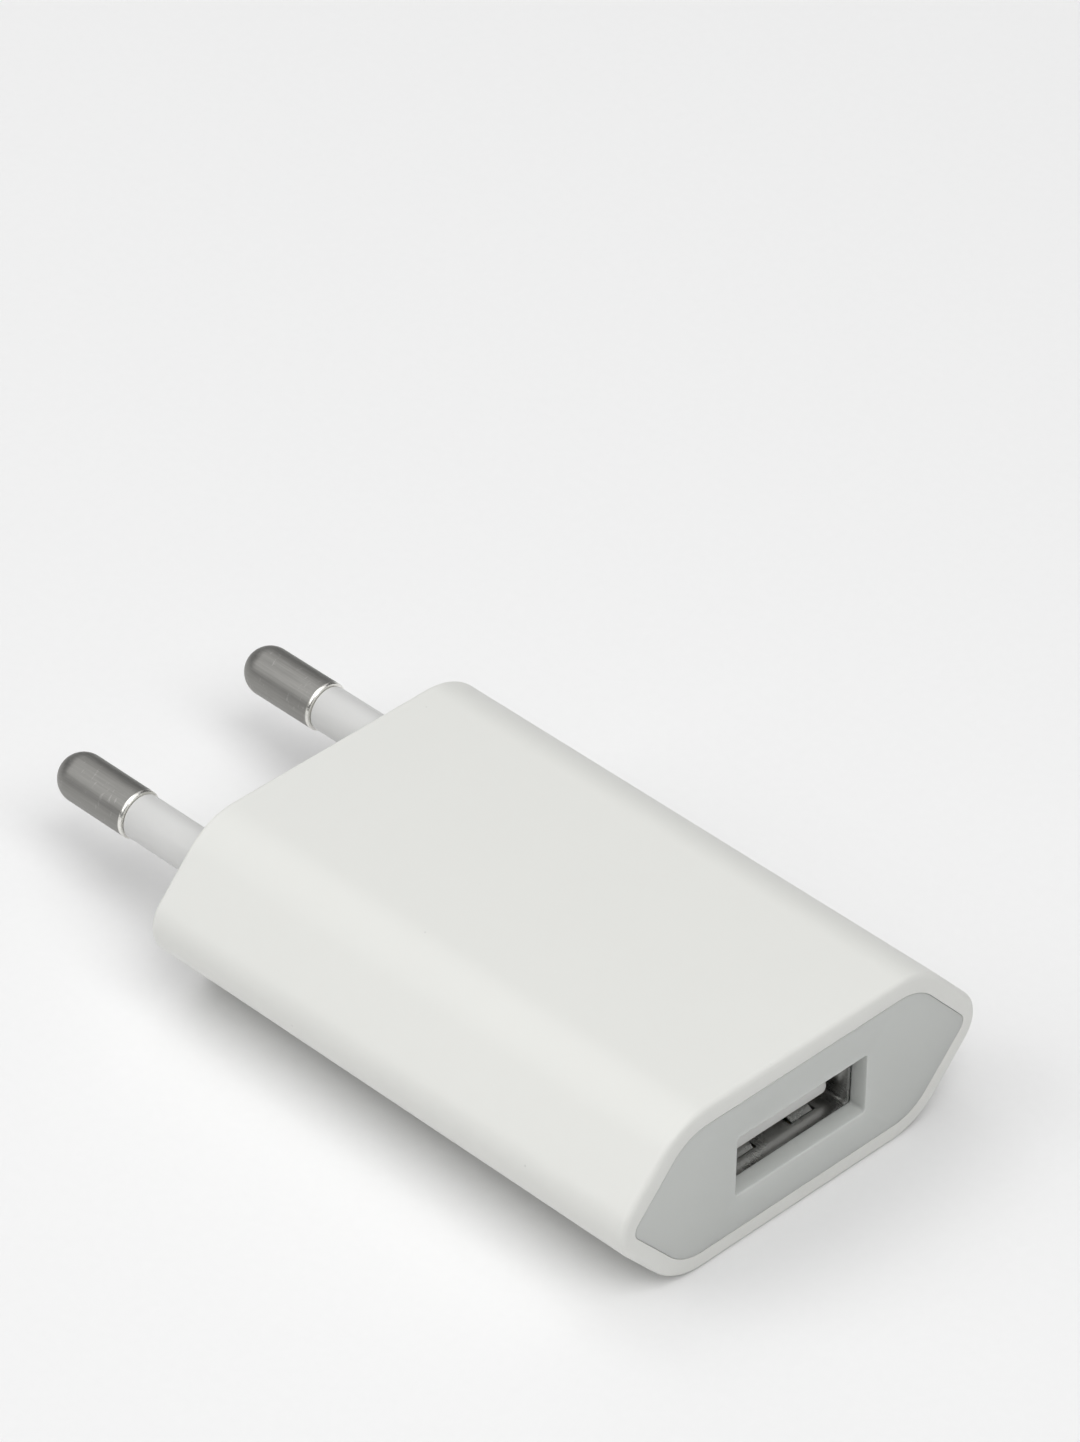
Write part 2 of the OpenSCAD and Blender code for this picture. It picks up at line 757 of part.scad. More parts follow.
module solder_joints() {
    foot = x_terminal + terminal_foot - terminal_t / 2;
    heavy_spots = concat([for (s = [-1, 1]) [foot, s * side_pin]],
        [for (s = [-1, 1]) [shell_leg_x, s * (shell_w - shell_leg[1]) / 2]]);
    color("lightgray") union() {
        for (spot = wire_spots)
            translate([spot.x, spot.y, board_low - under_gap - joint_h])
                cylinder(d1 = joint_d / 2, d2 = joint_d, h = joint_h);
        for (spot = heavy_spots)
            translate([spot.x, spot.y, board_low - under_gap - joint_h])
                cylinder(d1 = joint_d, d2 = joint_d * 1.7, h = joint_h);
    }
}

housing();
face_plate();
pin_left();
pin_right();
pin_sleeve_left();
pin_sleeve_right();
pin_block();
terminal_left();
terminal_right();
main_board();
insulation_sheet();
fuse_resistor();
fuse_leads();
bridge_rectifier();
bridge_legs();
input_can_left();
input_can_right();
input_wrap_left();
input_wrap_right();
input_bung_left();
input_bung_right();
input_cap_leads();
choke_core();
choke_winding();
choke_leads();
transformer_core_rear();
transformer_core_front();
transformer_bobbin();
primary_winding();
secondary_winding();
winding_tape();
core_band();
transformer_pins();
safety_capacitor();
safety_capacitor_leads();
control_chip();
control_chip_legs();
output_diode();
output_diode_tabs();
output_can_left();
output_can_right();
output_wrap_left();
output_wrap_right();
output_bungs();
output_cap_leads();
usb_shell();
usb_insulator();
usb_contacts();
chip_resistors();
chip_capacitors();
solder_joints();
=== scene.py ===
"""Looks of a two-pin mains charger with a USB outlet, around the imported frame: smooth case, flush front
plate, plated pins, metal outlet and the power supply inside. X runs from the pin tips to the outlet, Z up."""
import math

import bmesh
import bpy
from mathutils import Matrix, Vector


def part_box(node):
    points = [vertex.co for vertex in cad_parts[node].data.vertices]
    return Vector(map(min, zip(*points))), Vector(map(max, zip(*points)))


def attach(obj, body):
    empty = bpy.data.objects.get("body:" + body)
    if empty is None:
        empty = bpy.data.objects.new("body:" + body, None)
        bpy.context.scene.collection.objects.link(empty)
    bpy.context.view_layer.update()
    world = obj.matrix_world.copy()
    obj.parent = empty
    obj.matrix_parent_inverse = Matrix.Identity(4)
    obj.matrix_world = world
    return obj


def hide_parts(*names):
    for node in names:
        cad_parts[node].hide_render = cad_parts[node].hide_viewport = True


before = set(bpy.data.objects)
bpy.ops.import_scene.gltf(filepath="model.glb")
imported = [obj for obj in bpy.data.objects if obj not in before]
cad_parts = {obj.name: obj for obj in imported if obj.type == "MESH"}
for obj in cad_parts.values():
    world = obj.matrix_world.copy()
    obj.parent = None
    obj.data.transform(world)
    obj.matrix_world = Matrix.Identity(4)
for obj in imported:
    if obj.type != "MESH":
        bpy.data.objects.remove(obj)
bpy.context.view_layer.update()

MM = 0.001


# ---- Sizes taken from the frame, in millimetres --------------------------------------------------

class Span:
    """Lowest and highest corner of a CAD node in millimetres, with its middle and size."""

    def __init__(self, low, high):
        self.low, self.high = Vector(low) / MM, Vector(high) / MM
        self.mid = (self.low + self.high) / 2
        self.size = self.high - self.low


def span(node):
    return Span(*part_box(node))


CASE = span("housing")
PLATE = span("face_plate")
PIN = span("pin_left")
SLEEVE = span("pin_sleeve_left")
SHELL = span("usb_shell")
TONGUE = span("usb_insulator")
BOARD = span("main_board")
PIN_Y = PIN.mid.y
AXIS_Z = CASE.mid.z


def solids(node):
    """The span of every separate solid in a CAD node, in order along X and then Y."""
    work = bmesh.new()
    work.from_mesh(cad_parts[node].data)
    bmesh.ops.remove_doubles(work, verts=work.verts, dist=1e-6)
    left, found = set(work.verts), []
    while left:
        stack, group = [left.pop()], []
        while stack:
            vert = stack.pop()
            group.append(vert.co.copy())
            for edge in vert.link_edges:
                other = edge.other_vert(vert)
                if other in left:
                    left.remove(other)
                    stack.append(other)
        low = [min(co[i] for co in group) for i in range(3)]
        high = [max(co[i] for co in group) for i in range(3)]
        found.append(Span(low, high))
    work.free()
    return sorted(found, key=lambda s: (round(s.mid.x, 2), s.mid.y))


# ---- Materials -----------------------------------------------------------------------------------

class Field:
    """A socket of a node tree; the usual operators add the Math nodes that work out an expression."""

    def __init__(self, tree, socket):
        self.tree, self.socket = tree, socket

    def maths(self, operation, *values):
        inputs = dict(enumerate(values))
        return self.tree.node("ShaderNodeMath", {"operation": operation}, inputs)

    def __add__(self, other):
        return self.maths("ADD", self, other)

    def __radd__(self, other):
        return self.maths("ADD", other, self)

    def __sub__(self, other):
        return self.maths("SUBTRACT", self, other)

    def __rsub__(self, other):
        return self.maths("SUBTRACT", other, self)

    def __mul__(self, other):
        return self.maths("MULTIPLY", self, other)

    def __rmul__(self, other):
        return self.maths("MULTIPLY", other, self)

    def __truediv__(self, other):
        return self.maths("DIVIDE", self, other)

    def __pow__(self, other):
        return self.maths("POWER", self, other)

    def __neg__(self):
        return self.maths("MULTIPLY", self, -1.0)

    def __abs__(self):
        return self.maths("ABSOLUTE", self)

    def above(self, edge, soft):
        """0 below edge - soft, 1 above edge + soft, and smooth between."""
        ramp = {"interpolation_type": "SMOOTHSTEP"}
        inputs = {"Value": self, "From Min": edge - soft, "From Max": edge + soft}
        return self.tree.node("ShaderNodeMapRange", ramp, inputs)


class Tree:
    """A node tree, of a material or of Geometry Nodes, that adds any node by one call."""

    def node(self, kind, settings, inputs, output=0):
        """Adds a node: settings come first, then its inputs get a value, a field or a list of fields."""
        made = self.tree.nodes.new(kind)
        for key, value in settings.items():
            setattr(made, key, value)
        for key, value in inputs.items():
            for one in value if isinstance(value, list) else [value]:
                if isinstance(one, Field):
                    self.tree.links.new(one.socket, made.inputs[key])
                else:
                    made.inputs[key].default_value = one
        return Field(self, made.outputs[output])

    def parts(self, vector):
        """The X, Y and Z of a vector."""
        return [self.node("ShaderNodeSeparateXYZ", {}, {"Vector": vector}, i) for i in range(3)]


class Paint(Tree):
    """One procedural material. Patterns are laid out in millimetres of the object's own space."""

    def __init__(self, name, **constants):
        self.material = bpy.data.materials.new(name)
        self.material.use_nodes = True
        self.tree = self.material.node_tree
        self.surface = self.tree.nodes["Principled BSDF"]
        self.surface.inputs["Subsurface Radius"].default_value = (1, 1, 1)
        for socket, value in constants.items():
            self.surface.inputs[socket.replace("_", " ").title().replace("Ior", "IOR")].default_value = value
        place = self.node("ShaderNodeTexCoord", {}, {}, "Object")
        self.mm = self.scaled(place, (1 / MM,) * 3)

    def scaled(self, vector, scale, location=(0, 0, 0)):
        return self.node("ShaderNodeMapping", {}, {"Vector": vector, "Scale": scale, "Location": location})

    def part(self, axis):
        """One coordinate in millimetres: 0 for X, 1 for Y, 2 for Z."""
        return self.node("ShaderNodeSeparateXYZ", {}, {"Vector": self.mm}, axis)

    def noise(self, size, detail=3.0, rough=0.55, stretch=(1, 1, 1)):
        """Noise whose features are about size millimetres across, drawn out along an axis by stretch."""
        vector = self.scaled(self.mm, tuple(1 / (size * s) for s in stretch))
        inputs = {"Vector": vector, "Scale": 1.0, "Detail": detail, "Roughness": rough}
        return self.node("ShaderNodeTexNoise", {}, inputs)

    def cells(self, size, feature="F1", output="Distance", stretch=(1, 1, 1)):
        vector = self.scaled(self.mm, tuple(1 / (size * s) for s in stretch))
        inputs = {"Vector": vector, "Scale": 1.0}
        return self.node("ShaderNodeTexVoronoi", {"feature": feature}, inputs, output)

    def mix(self, first, second, factor):
        """A colour between two colours."""
        def colour(c):
            return c if isinstance(c, Field) else (*c, 1)
        inputs = {0: factor, 6: colour(first), 7: colour(second)}
        return self.node("ShaderNodeMix", {"data_type": "RGBA"}, inputs, 2)

    def tones(self, colour, low, high, factor):
        """A colour that goes from low times to high times the given one."""
        return self.mix(shade(colour, low), shade(colour, high), factor)

    def bump(self, height, depth, strength=1.0, under=None):
        """A normal from a height of 0 to 1 that stands for depth millimetres."""
        inputs = {"Height": height, "Distance": depth * MM, "Strength": strength}
        if under:
            inputs["Normal"] = under
        return self.node("ShaderNodeBump", {}, inputs, "Normal")

    def set(self, **fields):
        """Joins varying fields to the shader and gives the material back."""
        for key, value in fields.items():
            self.tree.links.new(value.socket, self.surface.inputs[key.replace("_", " ").title()])
        return self.material


def shade(colour, factor):
    return tuple(c * factor for c in colour)


def case_plastic(name, colour, rough):
    """Smooth moulded plastic that lets a little light in, with faint clouding and fine handling marks."""
    p = Paint(name, ior=1.46, coat_weight=0.08, coat_roughness=0.3, subsurface_weight=0.2,
              subsurface_scale=0.6 * MM)
    clouds = p.noise(9, 2)
    peel = p.noise(0.55, 2)
    dust = p.cells(3.1).above(0.03, 0.012)
    marks = p.noise(0.22, 4, 0.6, stretch=(9, 1, 1)).above(0.7, 0.06)
    tone = p.tones(colour, 0.985, 1, clouds)
    return p.set(
        base_color=p.mix(shade(colour, 0.86), tone, dust),
        roughness=rough + 0.05 * clouds + 0.06 * marks,
        normal=p.bump(peel, 0.004, 0.5, p.bump(marks, 0.001)))


def satin_plastic(name, colour, rough=0.5, grain=0.12, depth=0.006, speck=0.06, **constants):
    """Moulded plastic with a fine spark-eroded grain."""
    p = Paint(name, ior=1.49, **constants)
    clouds = p.noise(6, 2)
    fine = p.noise(grain, 3)
    coarse = p.noise(grain * 4, 2)
    tone = p.tones(colour, 1 - speck, 1 + speck, fine * 0.5 + clouds * 0.5)
    return p.set(
        base_color=tone,
        roughness=rough + 0.14 * fine,
        normal=p.bump(fine * 0.7 + coarse * 0.3, depth, 0.6))


def plated_metal(name, colour, rough, lines=(1, 1, 12), worn=0.1):
    """Plated metal with fine drawing lines, small pits and dull patches."""
    p = Paint(name, metallic=1.0, ior=1.5)
    clouds = p.noise(2.2, 3)
    drawn = p.noise(0.09, 4, 0.6, stretch=lines)
    pits = 1 - p.cells(0.35).above(0.13, 0.06)
    tone = p.tones(colour, 0.82, 1, drawn * 0.5 + clouds * 0.5)
    return p.set(
        base_color=p.mix(tone, shade(colour, 0.55), pits * 0.6),
        roughness=rough + worn * clouds + 0.1 * drawn + 0.1 * pits,
        normal=p.bump(drawn - pits * 0.6, 0.003, 0.5))


def pin_plating(name, colour, bright, highlight_from):
    """Nickel plate with drawing lines along the pin, and a ring of painted highlight where the sleeve begins:
    brighter colour on smoother metal.
    """
    p = Paint(name, metallic=1.0, ior=1.5)
    clouds = p.noise(1.6, 3)
    drawn = p.noise(0.14, 4, 0.65, stretch=(30, 1, 1))
    # ring of painted highlight: a much brighter base colour where the bare metal meets the sleeve
    ring = p.part(0).above(highlight_from, 0.04)
    scuffs = p.noise(0.3, 3, 0.6, stretch=(1, 3, 3)).above(0.66, 0.05)
    tone = p.tones(colour, 0.62, 1.25, drawn * 0.75 + clouds * 0.25)
    return p.set(
        base_color=p.mix(p.mix(tone, shade(colour, 1.5), scuffs * 0.4), bright, ring),
        roughness=0.4 + 0.1 * clouds + 0.08 * drawn - 0.22 * ring,
        normal=p.bump(drawn * (1 - ring), 0.004, 0.6))


def wound_wire(name, colour, rough):
    """Enamelled or insulated wire: glossy, darker in patches, with a faint ripple along it."""
    p = Paint(name, ior=1.55, coat_weight=0.6, coat_roughness=0.12)
    clouds = p.noise(1.1, 3)
    ripple = p.noise(0.2, 2)
    return p.set(
        base_color=p.tones(colour, 0.7, 1.15, clouds),
        roughness=rough + 0.12 * ripple,
        normal=p.bump(ripple, 0.006, 0.4))


def shrunk_film(name, colour, stripe, middle, width):
    """Shrunk plastic film on a capacitor, with a plain pale stripe on the side of its negative wire."""
    p = Paint(name, ior=1.52, coat_weight=0.4, coat_roughness=0.15)
    clouds = p.noise(3, 3)
    creases = p.noise(0.5, 3, 0.6, stretch=(8, 1, 1)).above(0.62, 0.08)
    side = 1 - abs(abs(p.part(1)) - middle).above(width / 2, 0.05)
    upper = p.part(2).above(AXIS_Z, 0.3)
    return p.set(
        base_color=p.mix(p.tones(colour, 0.85, 1, clouds), stripe, side * upper),
        roughness=0.3 + 0.1 * clouds,
        normal=p.bump(creases, 0.015, 0.5))


def tape_film(name, colour):
    """Polyester tape wound in layers, whose edges show as fine steps round it."""
    p = Paint(name, ior=1.6, coat_weight=0.5, coat_roughness=0.1)
    layers = p.noise(0.12, 2, stretch=(1, 20, 20))
    bubbles = p.cells(0.9).above(0.16, 0.1)
    return p.set(
        base_color=p.mix(shade(colour, 0.8), p.tones(colour, 0.92, 1, bubbles), layers),
        roughness=0.22 + 0.12 * layers,
        normal=p.bump(layers, 0.01, 0.5))


def board_laminate(name, resist, copper, weave):
    """Woven laminate under green resist, with wide copper tracks under it that run square to the board."""
    p = Paint(name, ior=1.5, coat_weight=0.5, coat_roughness=0.2)
    cloth = p.noise(0.25, 2, stretch=(3, 1, 1)) * 0.5 + p.noise(0.25, 2, stretch=(1, 3, 1)) * 0.5
    tracks = p.node("ShaderNodeTexVoronoi", {"feature": "F1", "distance": "CHEBYCHEV"},
                    {"Vector": p.scaled(p.mm, (0.21, 0.21, 0.0)), "Scale": 1.0, "Randomness": 0.8})
    copper_area = 1 - tracks.above(0.36, 0.01)
    tone = p.tones(resist, 0.8, 1, cloth)
    cut_edge = abs(abs(p.part(1)) - BOARD.high.y).above(0.05, 0.02)
    return p.set(
        base_color=p.mix(weave, p.mix(tone, copper, copper_area * 0.55), cut_edge),
        roughness=0.34 + 0.12 * cloth,
        normal=p.bump(copper_area + cloth * 0.2, 0.03, 0.6))


def pressed_sheet(name, colour):
    """Insulating sheet of pressed fibres."""
    p = Paint(name, ior=1.45)
    fibres = p.noise(0.35, 4, 0.65, stretch=(5, 1, 1)) * 0.6 + p.noise(0.35, 4, 0.65, stretch=(1, 5, 1)) * 0.4
    return p.set(
        base_color=p.tones(colour, 0.82, 1.05, fibres),
        roughness=0.7 + 0.15 * fibres,
        normal=p.bump(fibres, 0.02, 0.6))


def pressed_ferrite(name, colour):
    """Sintered ferrite: fine dark crystals, a few chipped spots, ground faces."""
    p = Paint(name, ior=2.0)
    grains = p.cells(0.12)
    chips = p.cells(1.7).above(0.07, 0.03)
    return p.set(
        base_color=p.mix(shade(colour, 0.55), p.tones(colour, 0.85, 1.4, grains), chips),
        roughness=0.42 + 0.2 * grains,
        normal=p.bump(grains * 0.4 + chips, 0.01, 0.5))


def dipped_lacquer(name, colour, bands=(), middle=0.0, half=0.25):
    """A thick dipped coat, glossy and a little uneven, with plain rings of colour at the given offsets."""
    p = Paint(name, ior=1.55, coat_weight=0.8, coat_roughness=0.08)
    wave = p.noise(1.3, 2)
    specks = p.cells(0.7).above(0.06, 0.03)
    tone = p.mix(shade(colour, 0.6), p.tones(colour, 0.9, 1.1, wave), specks)
    for offset, band in bands:
        tone = p.mix(band, tone, abs(p.part(1) - (middle + offset)).above(half, 0.03))
    return p.set(base_color=tone, roughness=0.25 + 0.1 * wave, normal=p.bump(wave, 0.03, 0.6))


def fired_ceramic(name, body, ends, half_length):
    """A small chip part: glazed body and tinned ends, told apart by its own length attribute."""
    p = Paint(name, ior=1.6)
    along = p.node("ShaderNodeAttribute", {"attribute_name": "along"}, {}, 2)
    end = abs(along).above(half_length - 0.36, 0.02)
    grain = p.noise(0.12, 3)
    return p.set(
        base_color=p.mix(p.tones(body, 0.8, 1.15, grain), ends, end),
        roughness=0.45 - 0.12 * end + 0.1 * grain,
        metallic=end * 0.9,
        normal=p.bump(grain, 0.006, 0.5))


def set_solder(name, colour):
    """Solder that set bright, with a frosted skin in places."""
    p = Paint(name, metallic=1.0)
    frost = p.noise(0.25, 3)
    patches = p.noise(1.5, 2).above(0.5, 0.15)
    return p.set(
        base_color=p.tones(colour, 0.8, 1, frost),
        roughness=0.16 + 0.25 * patches,
        normal=p.bump(frost * patches, 0.01, 0.5))


# ---- Mesh work -----------------------------------------------------------------------------------

def rounded(points, radii, steps):
    """Closed outline with an arc of steps pieces at each corner; a corner of radius 0 stays one point."""
    outline = []
    for i, corner in enumerate(points):
        corner = Vector(corner)
        to_last = (Vector(points[i - 1]) - corner).normalized()
        to_next = (Vector(points[(i + 1) % len(points)]) - corner).normalized()
        if radii[i] <= 0:
            outline.append(corner)
            continue
        half = to_last.angle(to_next) / 2
        centre = corner + (to_last + to_next).normalized() * radii[i] / math.sin(half)
        first = corner + to_last * radii[i] / math.tan(half) - centre
        turn = first.angle_signed(corner + to_next * radii[i] / math.tan(half) - centre)
        for k in range(steps + 1):
            outline.append(centre + Matrix.Rotation(-turn * k / steps, 2) @ first)
    return outline


def rectangle(width, height, radius, steps=6, middle=(0, 0)):
    y, z = width / 2, height / 2
    outline = rounded([(y, -z), (y, z), (-y, z), (-y, -z)], [radius] * 4, steps)
    return [p + Vector(middle) for p in outline]


def ring(radius, steps=48, middle=(0, 0)):
    angles = [2 * math.pi * k / steps for k in range(steps)]
    return [Vector((radius * math.cos(a), radius * math.sin(a))) + Vector(middle) for a in angles]


def quarter_turn(steps):
    """Angles from 0 to a right angle."""
    return [math.pi / 2 * k / steps for k in range(steps + 1)]


class Skin:
    """A mesh built from loops of points in millimetres, each loop in a plane across one axis."""

    def __init__(self, axis="x"):
        self.mesh = bmesh.new()
        self.order = {"x": (0, 1, 2), "y": (1, 0, 2), "z": (1, 2, 0)}[axis]

    def loop(self, along, outline):
        """A loop of new corners: an outline's (y, z), (x, z) or (x, y) at one place along the axis."""
        return [self.mesh.verts.new([(along, p.x, p.y)[i] * MM for i in self.order]) for p in outline]

    def solid(self, *loops):
        """A closed body from one loop to the last."""
        self.wall(*loops)
        self.flat(loops[0])
        self.flat(loops[-1])

    def turned(self, profile, middle, steps=64):
        """A solid of revolution about the axis; profile is a list of (along, radius), ends on the axis."""
        self.solid(*[self.loop(along, ring(radius, steps, middle)) for along, radius in profile])

    def tube(self, profile, middle, steps=64):
        """A ring of material about the axis; profile is its closed section as (along, radius)."""
        loops = [self.loop(along, ring(radius, steps, middle)) for along, radius in profile]
        self.wall(*loops, loops[0])

    def wall(self, *loops):
        """Faces between each loop and the next."""
        for first, second in zip(loops, loops[1:]):
            count = len(first)
            for i in range(count):
                j = (i + 1) % count
                self.mesh.faces.new((first[i], first[j], second[j], second[i]))

    def flat(self, *loops):
        """A flat face between an outer loop and any holes in it."""
        edges = []
        for loop in loops:
            for i, vert in enumerate(loop):
                pair = (vert, loop[(i + 1) % len(loop)])
                edges.append(self.mesh.edges.get(pair) or self.mesh.edges.new(pair))
        bmesh.ops.triangle_fill(self.mesh, use_beauty=True, use_dissolve=False, edges=edges)

    def box(self, low, high, edge=0.0):
        """A closed block with its edges cut back by edge."""
        made = bmesh.ops.create_cube(self.mesh, size=1)["verts"]
        for vert in made:
            vert.co = [(a + (c + 0.5) * (b - a)) * MM for a, b, c in zip(low, high, vert.co)]
        if edge:
            edges = list({e for vert in made for e in vert.link_edges})
            bmesh.ops.bevel(self.mesh, geom=edges, offset=edge * MM, segments=2, profile=0.5, affect="EDGES")

    def finish(self, name, paint, slot, replaced=(), smooth=40.0):
        """The finished piece: faces outwards, smooth up to an angle in degrees, riding on the part's body."""
        bmesh.ops.remove_doubles(self.mesh, verts=self.mesh.verts, dist=1e-7)
        bmesh.ops.recalc_face_normals(self.mesh, faces=self.mesh.faces)
        data = bpy.data.meshes.new(name)
        self.mesh.to_mesh(data)
        self.mesh.free()
        return place(data, name, paint, slot, replaced, smooth)


def place(data, name, paint, slot, replaced=(), smooth=40.0):
    """Puts a finished mesh in the scene as a piece of the part."""
    data.polygons.foreach_set("use_smooth", [True] * len(data.polygons))
    data.set_sharp_from_angle(angle=math.radians(smooth))
    data.materials.clear()
    data.materials.append(paint)
    piece = bpy.data.objects.new(name, data)
    bpy.context.scene.collection.objects.link(piece)
    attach(piece, "root")
    if replaced:
        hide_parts(*replaced)
    return piece


class Grown(Tree):
    """A Geometry Nodes tree with named sizes in millimetres, whose result becomes a plain mesh piece.

    Its input mesh holds the given spots, joined one to the next, for places or for a path."""

    def __init__(self, name, spots=(), **sizes):
        self.name, self.spots, self.given = name, spots, {}
        self.tree = bpy.data.node_groups.new(name, "GeometryNodeTree")
        sockets = self.tree.interface
        sockets.new_socket("Spots", in_out="INPUT", socket_type="NodeSocketGeometry")
        sockets.new_socket("Piece", in_out="OUTPUT", socket_type="NodeSocketGeometry")
        self.entry = self.tree.nodes.new("NodeGroupInput")
        for key, value in sizes.items():
            whole = isinstance(value, int)
            kind = "NodeSocketInt" if whole else "NodeSocketFloat"
            socket = sockets.new_socket(key, in_out="INPUT", socket_type=kind)
            self.given[socket.identifier] = value if whole else value * MM

    def size(self, key):
        return Field(self, self.entry.outputs[key])

    def at_spots(self, geometry, spots=None, **placing):
        """The geometry at every spot, or at every point of a mesh."""
        inputs = {"Points": spots or self.size("Spots"), "Instance": geometry, **placing}
        return self.node("GeometryNodeInstanceOnPoints", {}, inputs)

    def vector(self, x=0.0, y=0.0, z=0.0):
        return self.node("ShaderNodeCombineXYZ", {}, {"X": x, "Y": y, "Z": z})

    def swept(self, path, section):
        """A closed bar with the given section along a path."""
        inputs = {"Curve": path, "Profile Curve": section, "Fill Caps": True}
        return self.node("GeometryNodeCurveToMesh", {}, inputs)

    def wire(self, path):
        """Round wire of the tree's own thickness along a path."""
        inputs = {"Resolution": 8, "Radius": self.size("Wire") * 0.49}
        return self.swept(path, self.node("GeometryNodeCurvePrimitiveCircle", {}, inputs))

    def line(self, count, start, step):
        """Points in a straight line."""
        inputs = {"Count": count, "Start Location": start, "Offset": step}
        return self.node("GeometryNodeMeshLine", {}, inputs)

    def joined(self, pieces):
        return self.node("GeometryNodeJoinGeometry", {}, {"Geometry": pieces})

    def finish(self, geometry, paint, slot, replaced=(), smooth=40.0):
        """Realizes and paints the geometry, and puts the plain mesh in the scene as a piece."""
        real = self.node("GeometryNodeRealizeInstances", {}, {"Geometry": geometry})
        painted = self.node("GeometryNodeSetMaterial", {}, {"Geometry": real, "Material": paint})
        leave = self.tree.nodes.new("NodeGroupOutput")
        self.tree.links.new(painted.socket, leave.inputs["Piece"])
        seed = bpy.data.meshes.new(self.name + "_spots")
        steps = [(i, i + 1) for i in range(len(self.spots) - 1)]
        seed.from_pydata([Vector(spot) * MM for spot in self.spots], steps, [])
        holder = bpy.data.objects.new(self.name + "_spots", seed)
        modifier = holder.modifiers.new("grow", "NODES")
        modifier.node_group = self.tree
        for identifier, value in self.given.items():
            modifier[identifier] = value
        bpy.context.scene.collection.objects.link(holder)
        graph = bpy.context.evaluated_depsgraph_get()
        data = bpy.data.meshes.new_from_object(
            holder.evaluated_get(graph), preserve_all_data_layers=True, depsgraph=graph)
        holder.modifiers.remove(modifier)
        bpy.data.objects.remove(holder)
        data.name = self.name
        return place(data, self.name, paint, slot, replaced, smooth)


def softened(node, paint, slot, edge):
    """A copy of a CAD node with its corners merged, its flat faces joined and its sharp edges rounded off."""
    work = bmesh.new()
    work.from_mesh(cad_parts[node].data)
    bmesh.ops.remove_doubles(work, verts=work.verts, dist=1e-6)
    bmesh.ops.dissolve_limit(work, angle_limit=math.radians(1), verts=work.verts, edges=work.edges)
    sharp = [e for e in work.edges if len(e.link_faces) == 2 and e.calc_face_angle(0) > math.radians(50)]
    bmesh.ops.bevel(work, geom=sharp, offset=edge * MM, segments=2, profile=0.5, affect="EDGES",
                    clamp_overlap=True)
    bmesh.ops.triangulate(work, faces=[f for f in work.faces if len(f.verts) > 4])
    data = bpy.data.meshes.new(node)
    work.to_mesh(data)
    work.free()
    return place(data, node + "_rounded", paint, slot, [node])


def finish_node(node, paint):
    """Gives a CAD node that keeps its own shape a better material."""
    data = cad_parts[node].data
    data.materials.clear()
    data.materials.append(paint)


# ---- Case and front plate ------------------------------------------------------------------------

FACE_HALF = 12.4     # half the width of the flat top, to where its plane meets the slanting side
EDGE_R = 6.0         # radius along the four long edges
RIDGE_R = 3.0        # radius along the two side ridges
WALL = 1.5
REAR_WALL = 1.8
INSIDE_R = 1.0       # radius of the side ridges inside the case
FRONT_FILLET = 0.5
REAR_FILLET = 0.4
FILLET_STEPS = 8
ARC_STEPS = 20
SHANK_BORE = 1.54    # radius of the holes that a pin's thin shank goes through

half_z, half_y = CASE.size.z / 2, CASE.size.y / 2
# run of the slanting side for each millimetre of height, so that the rounded ridge ends at the case's side
spare = half_y - FACE_HALF - RIDGE_R
reach = math.sqrt(half_z ** 2 + spare ** 2 - RIDGE_R ** 2)
slope = (half_z * spare + RIDGE_R * reach) / (half_z ** 2 - RIDGE_R ** 2)
ridge_y = FACE_HALF + slope * half_z


def case_outline(inwards, edge_r, ridge_r, steps=ARC_STEPS):
    """The six-sided outline moved inwards, in (y, z)."""
    ridge = ridge_y - inwards * math.hypot(1, slope)
    top = half_z - inwards
    edge = ridge - slope * top
    points = [(ridge, 0), (edge, top), (-edge, top), (-ridge, 0), (-edge, -top), (edge, -top)]
    outline = rounded(points, [ridge_r, edge_r, edge_r, ridge_r, edge_r, edge_r], steps)
    return [p + Vector((0, AXIS_Z)) for p in outline]


def outer_outline(inwards):
    return case_outline(inwards, EDGE_R - inwards, RIDGE_R - inwards)


def with_rails(outline):
    """The cavity's outline with the two rails that carry the board."""
    reach, top, low = BOARD.high.y - 0.3, BOARD.low.z - 0.04, BOARD.low.z - 1.04
    made = []
    count = len(outline)
    for i, p in enumerate(outline):
        q = outline[(i + 1) % count]
        inside = low < p.y < top
        if not inside:
            made.append(p)
        for level in ((top, low) if q.y < p.y else (low, top)):
            if min(p.y, q.y) < level <= max(p.y, q.y):
                y = p.x + (q.x - p.x) * (level - p.y) / (q.y - p.y)
                side = math.copysign(reach, y)
                entering = (level == top) == (q.y < p.y)
                made += [Vector((y, level)), Vector((side, level))] if entering else \
                    [Vector((side, level)), Vector((y, level))]
    return made


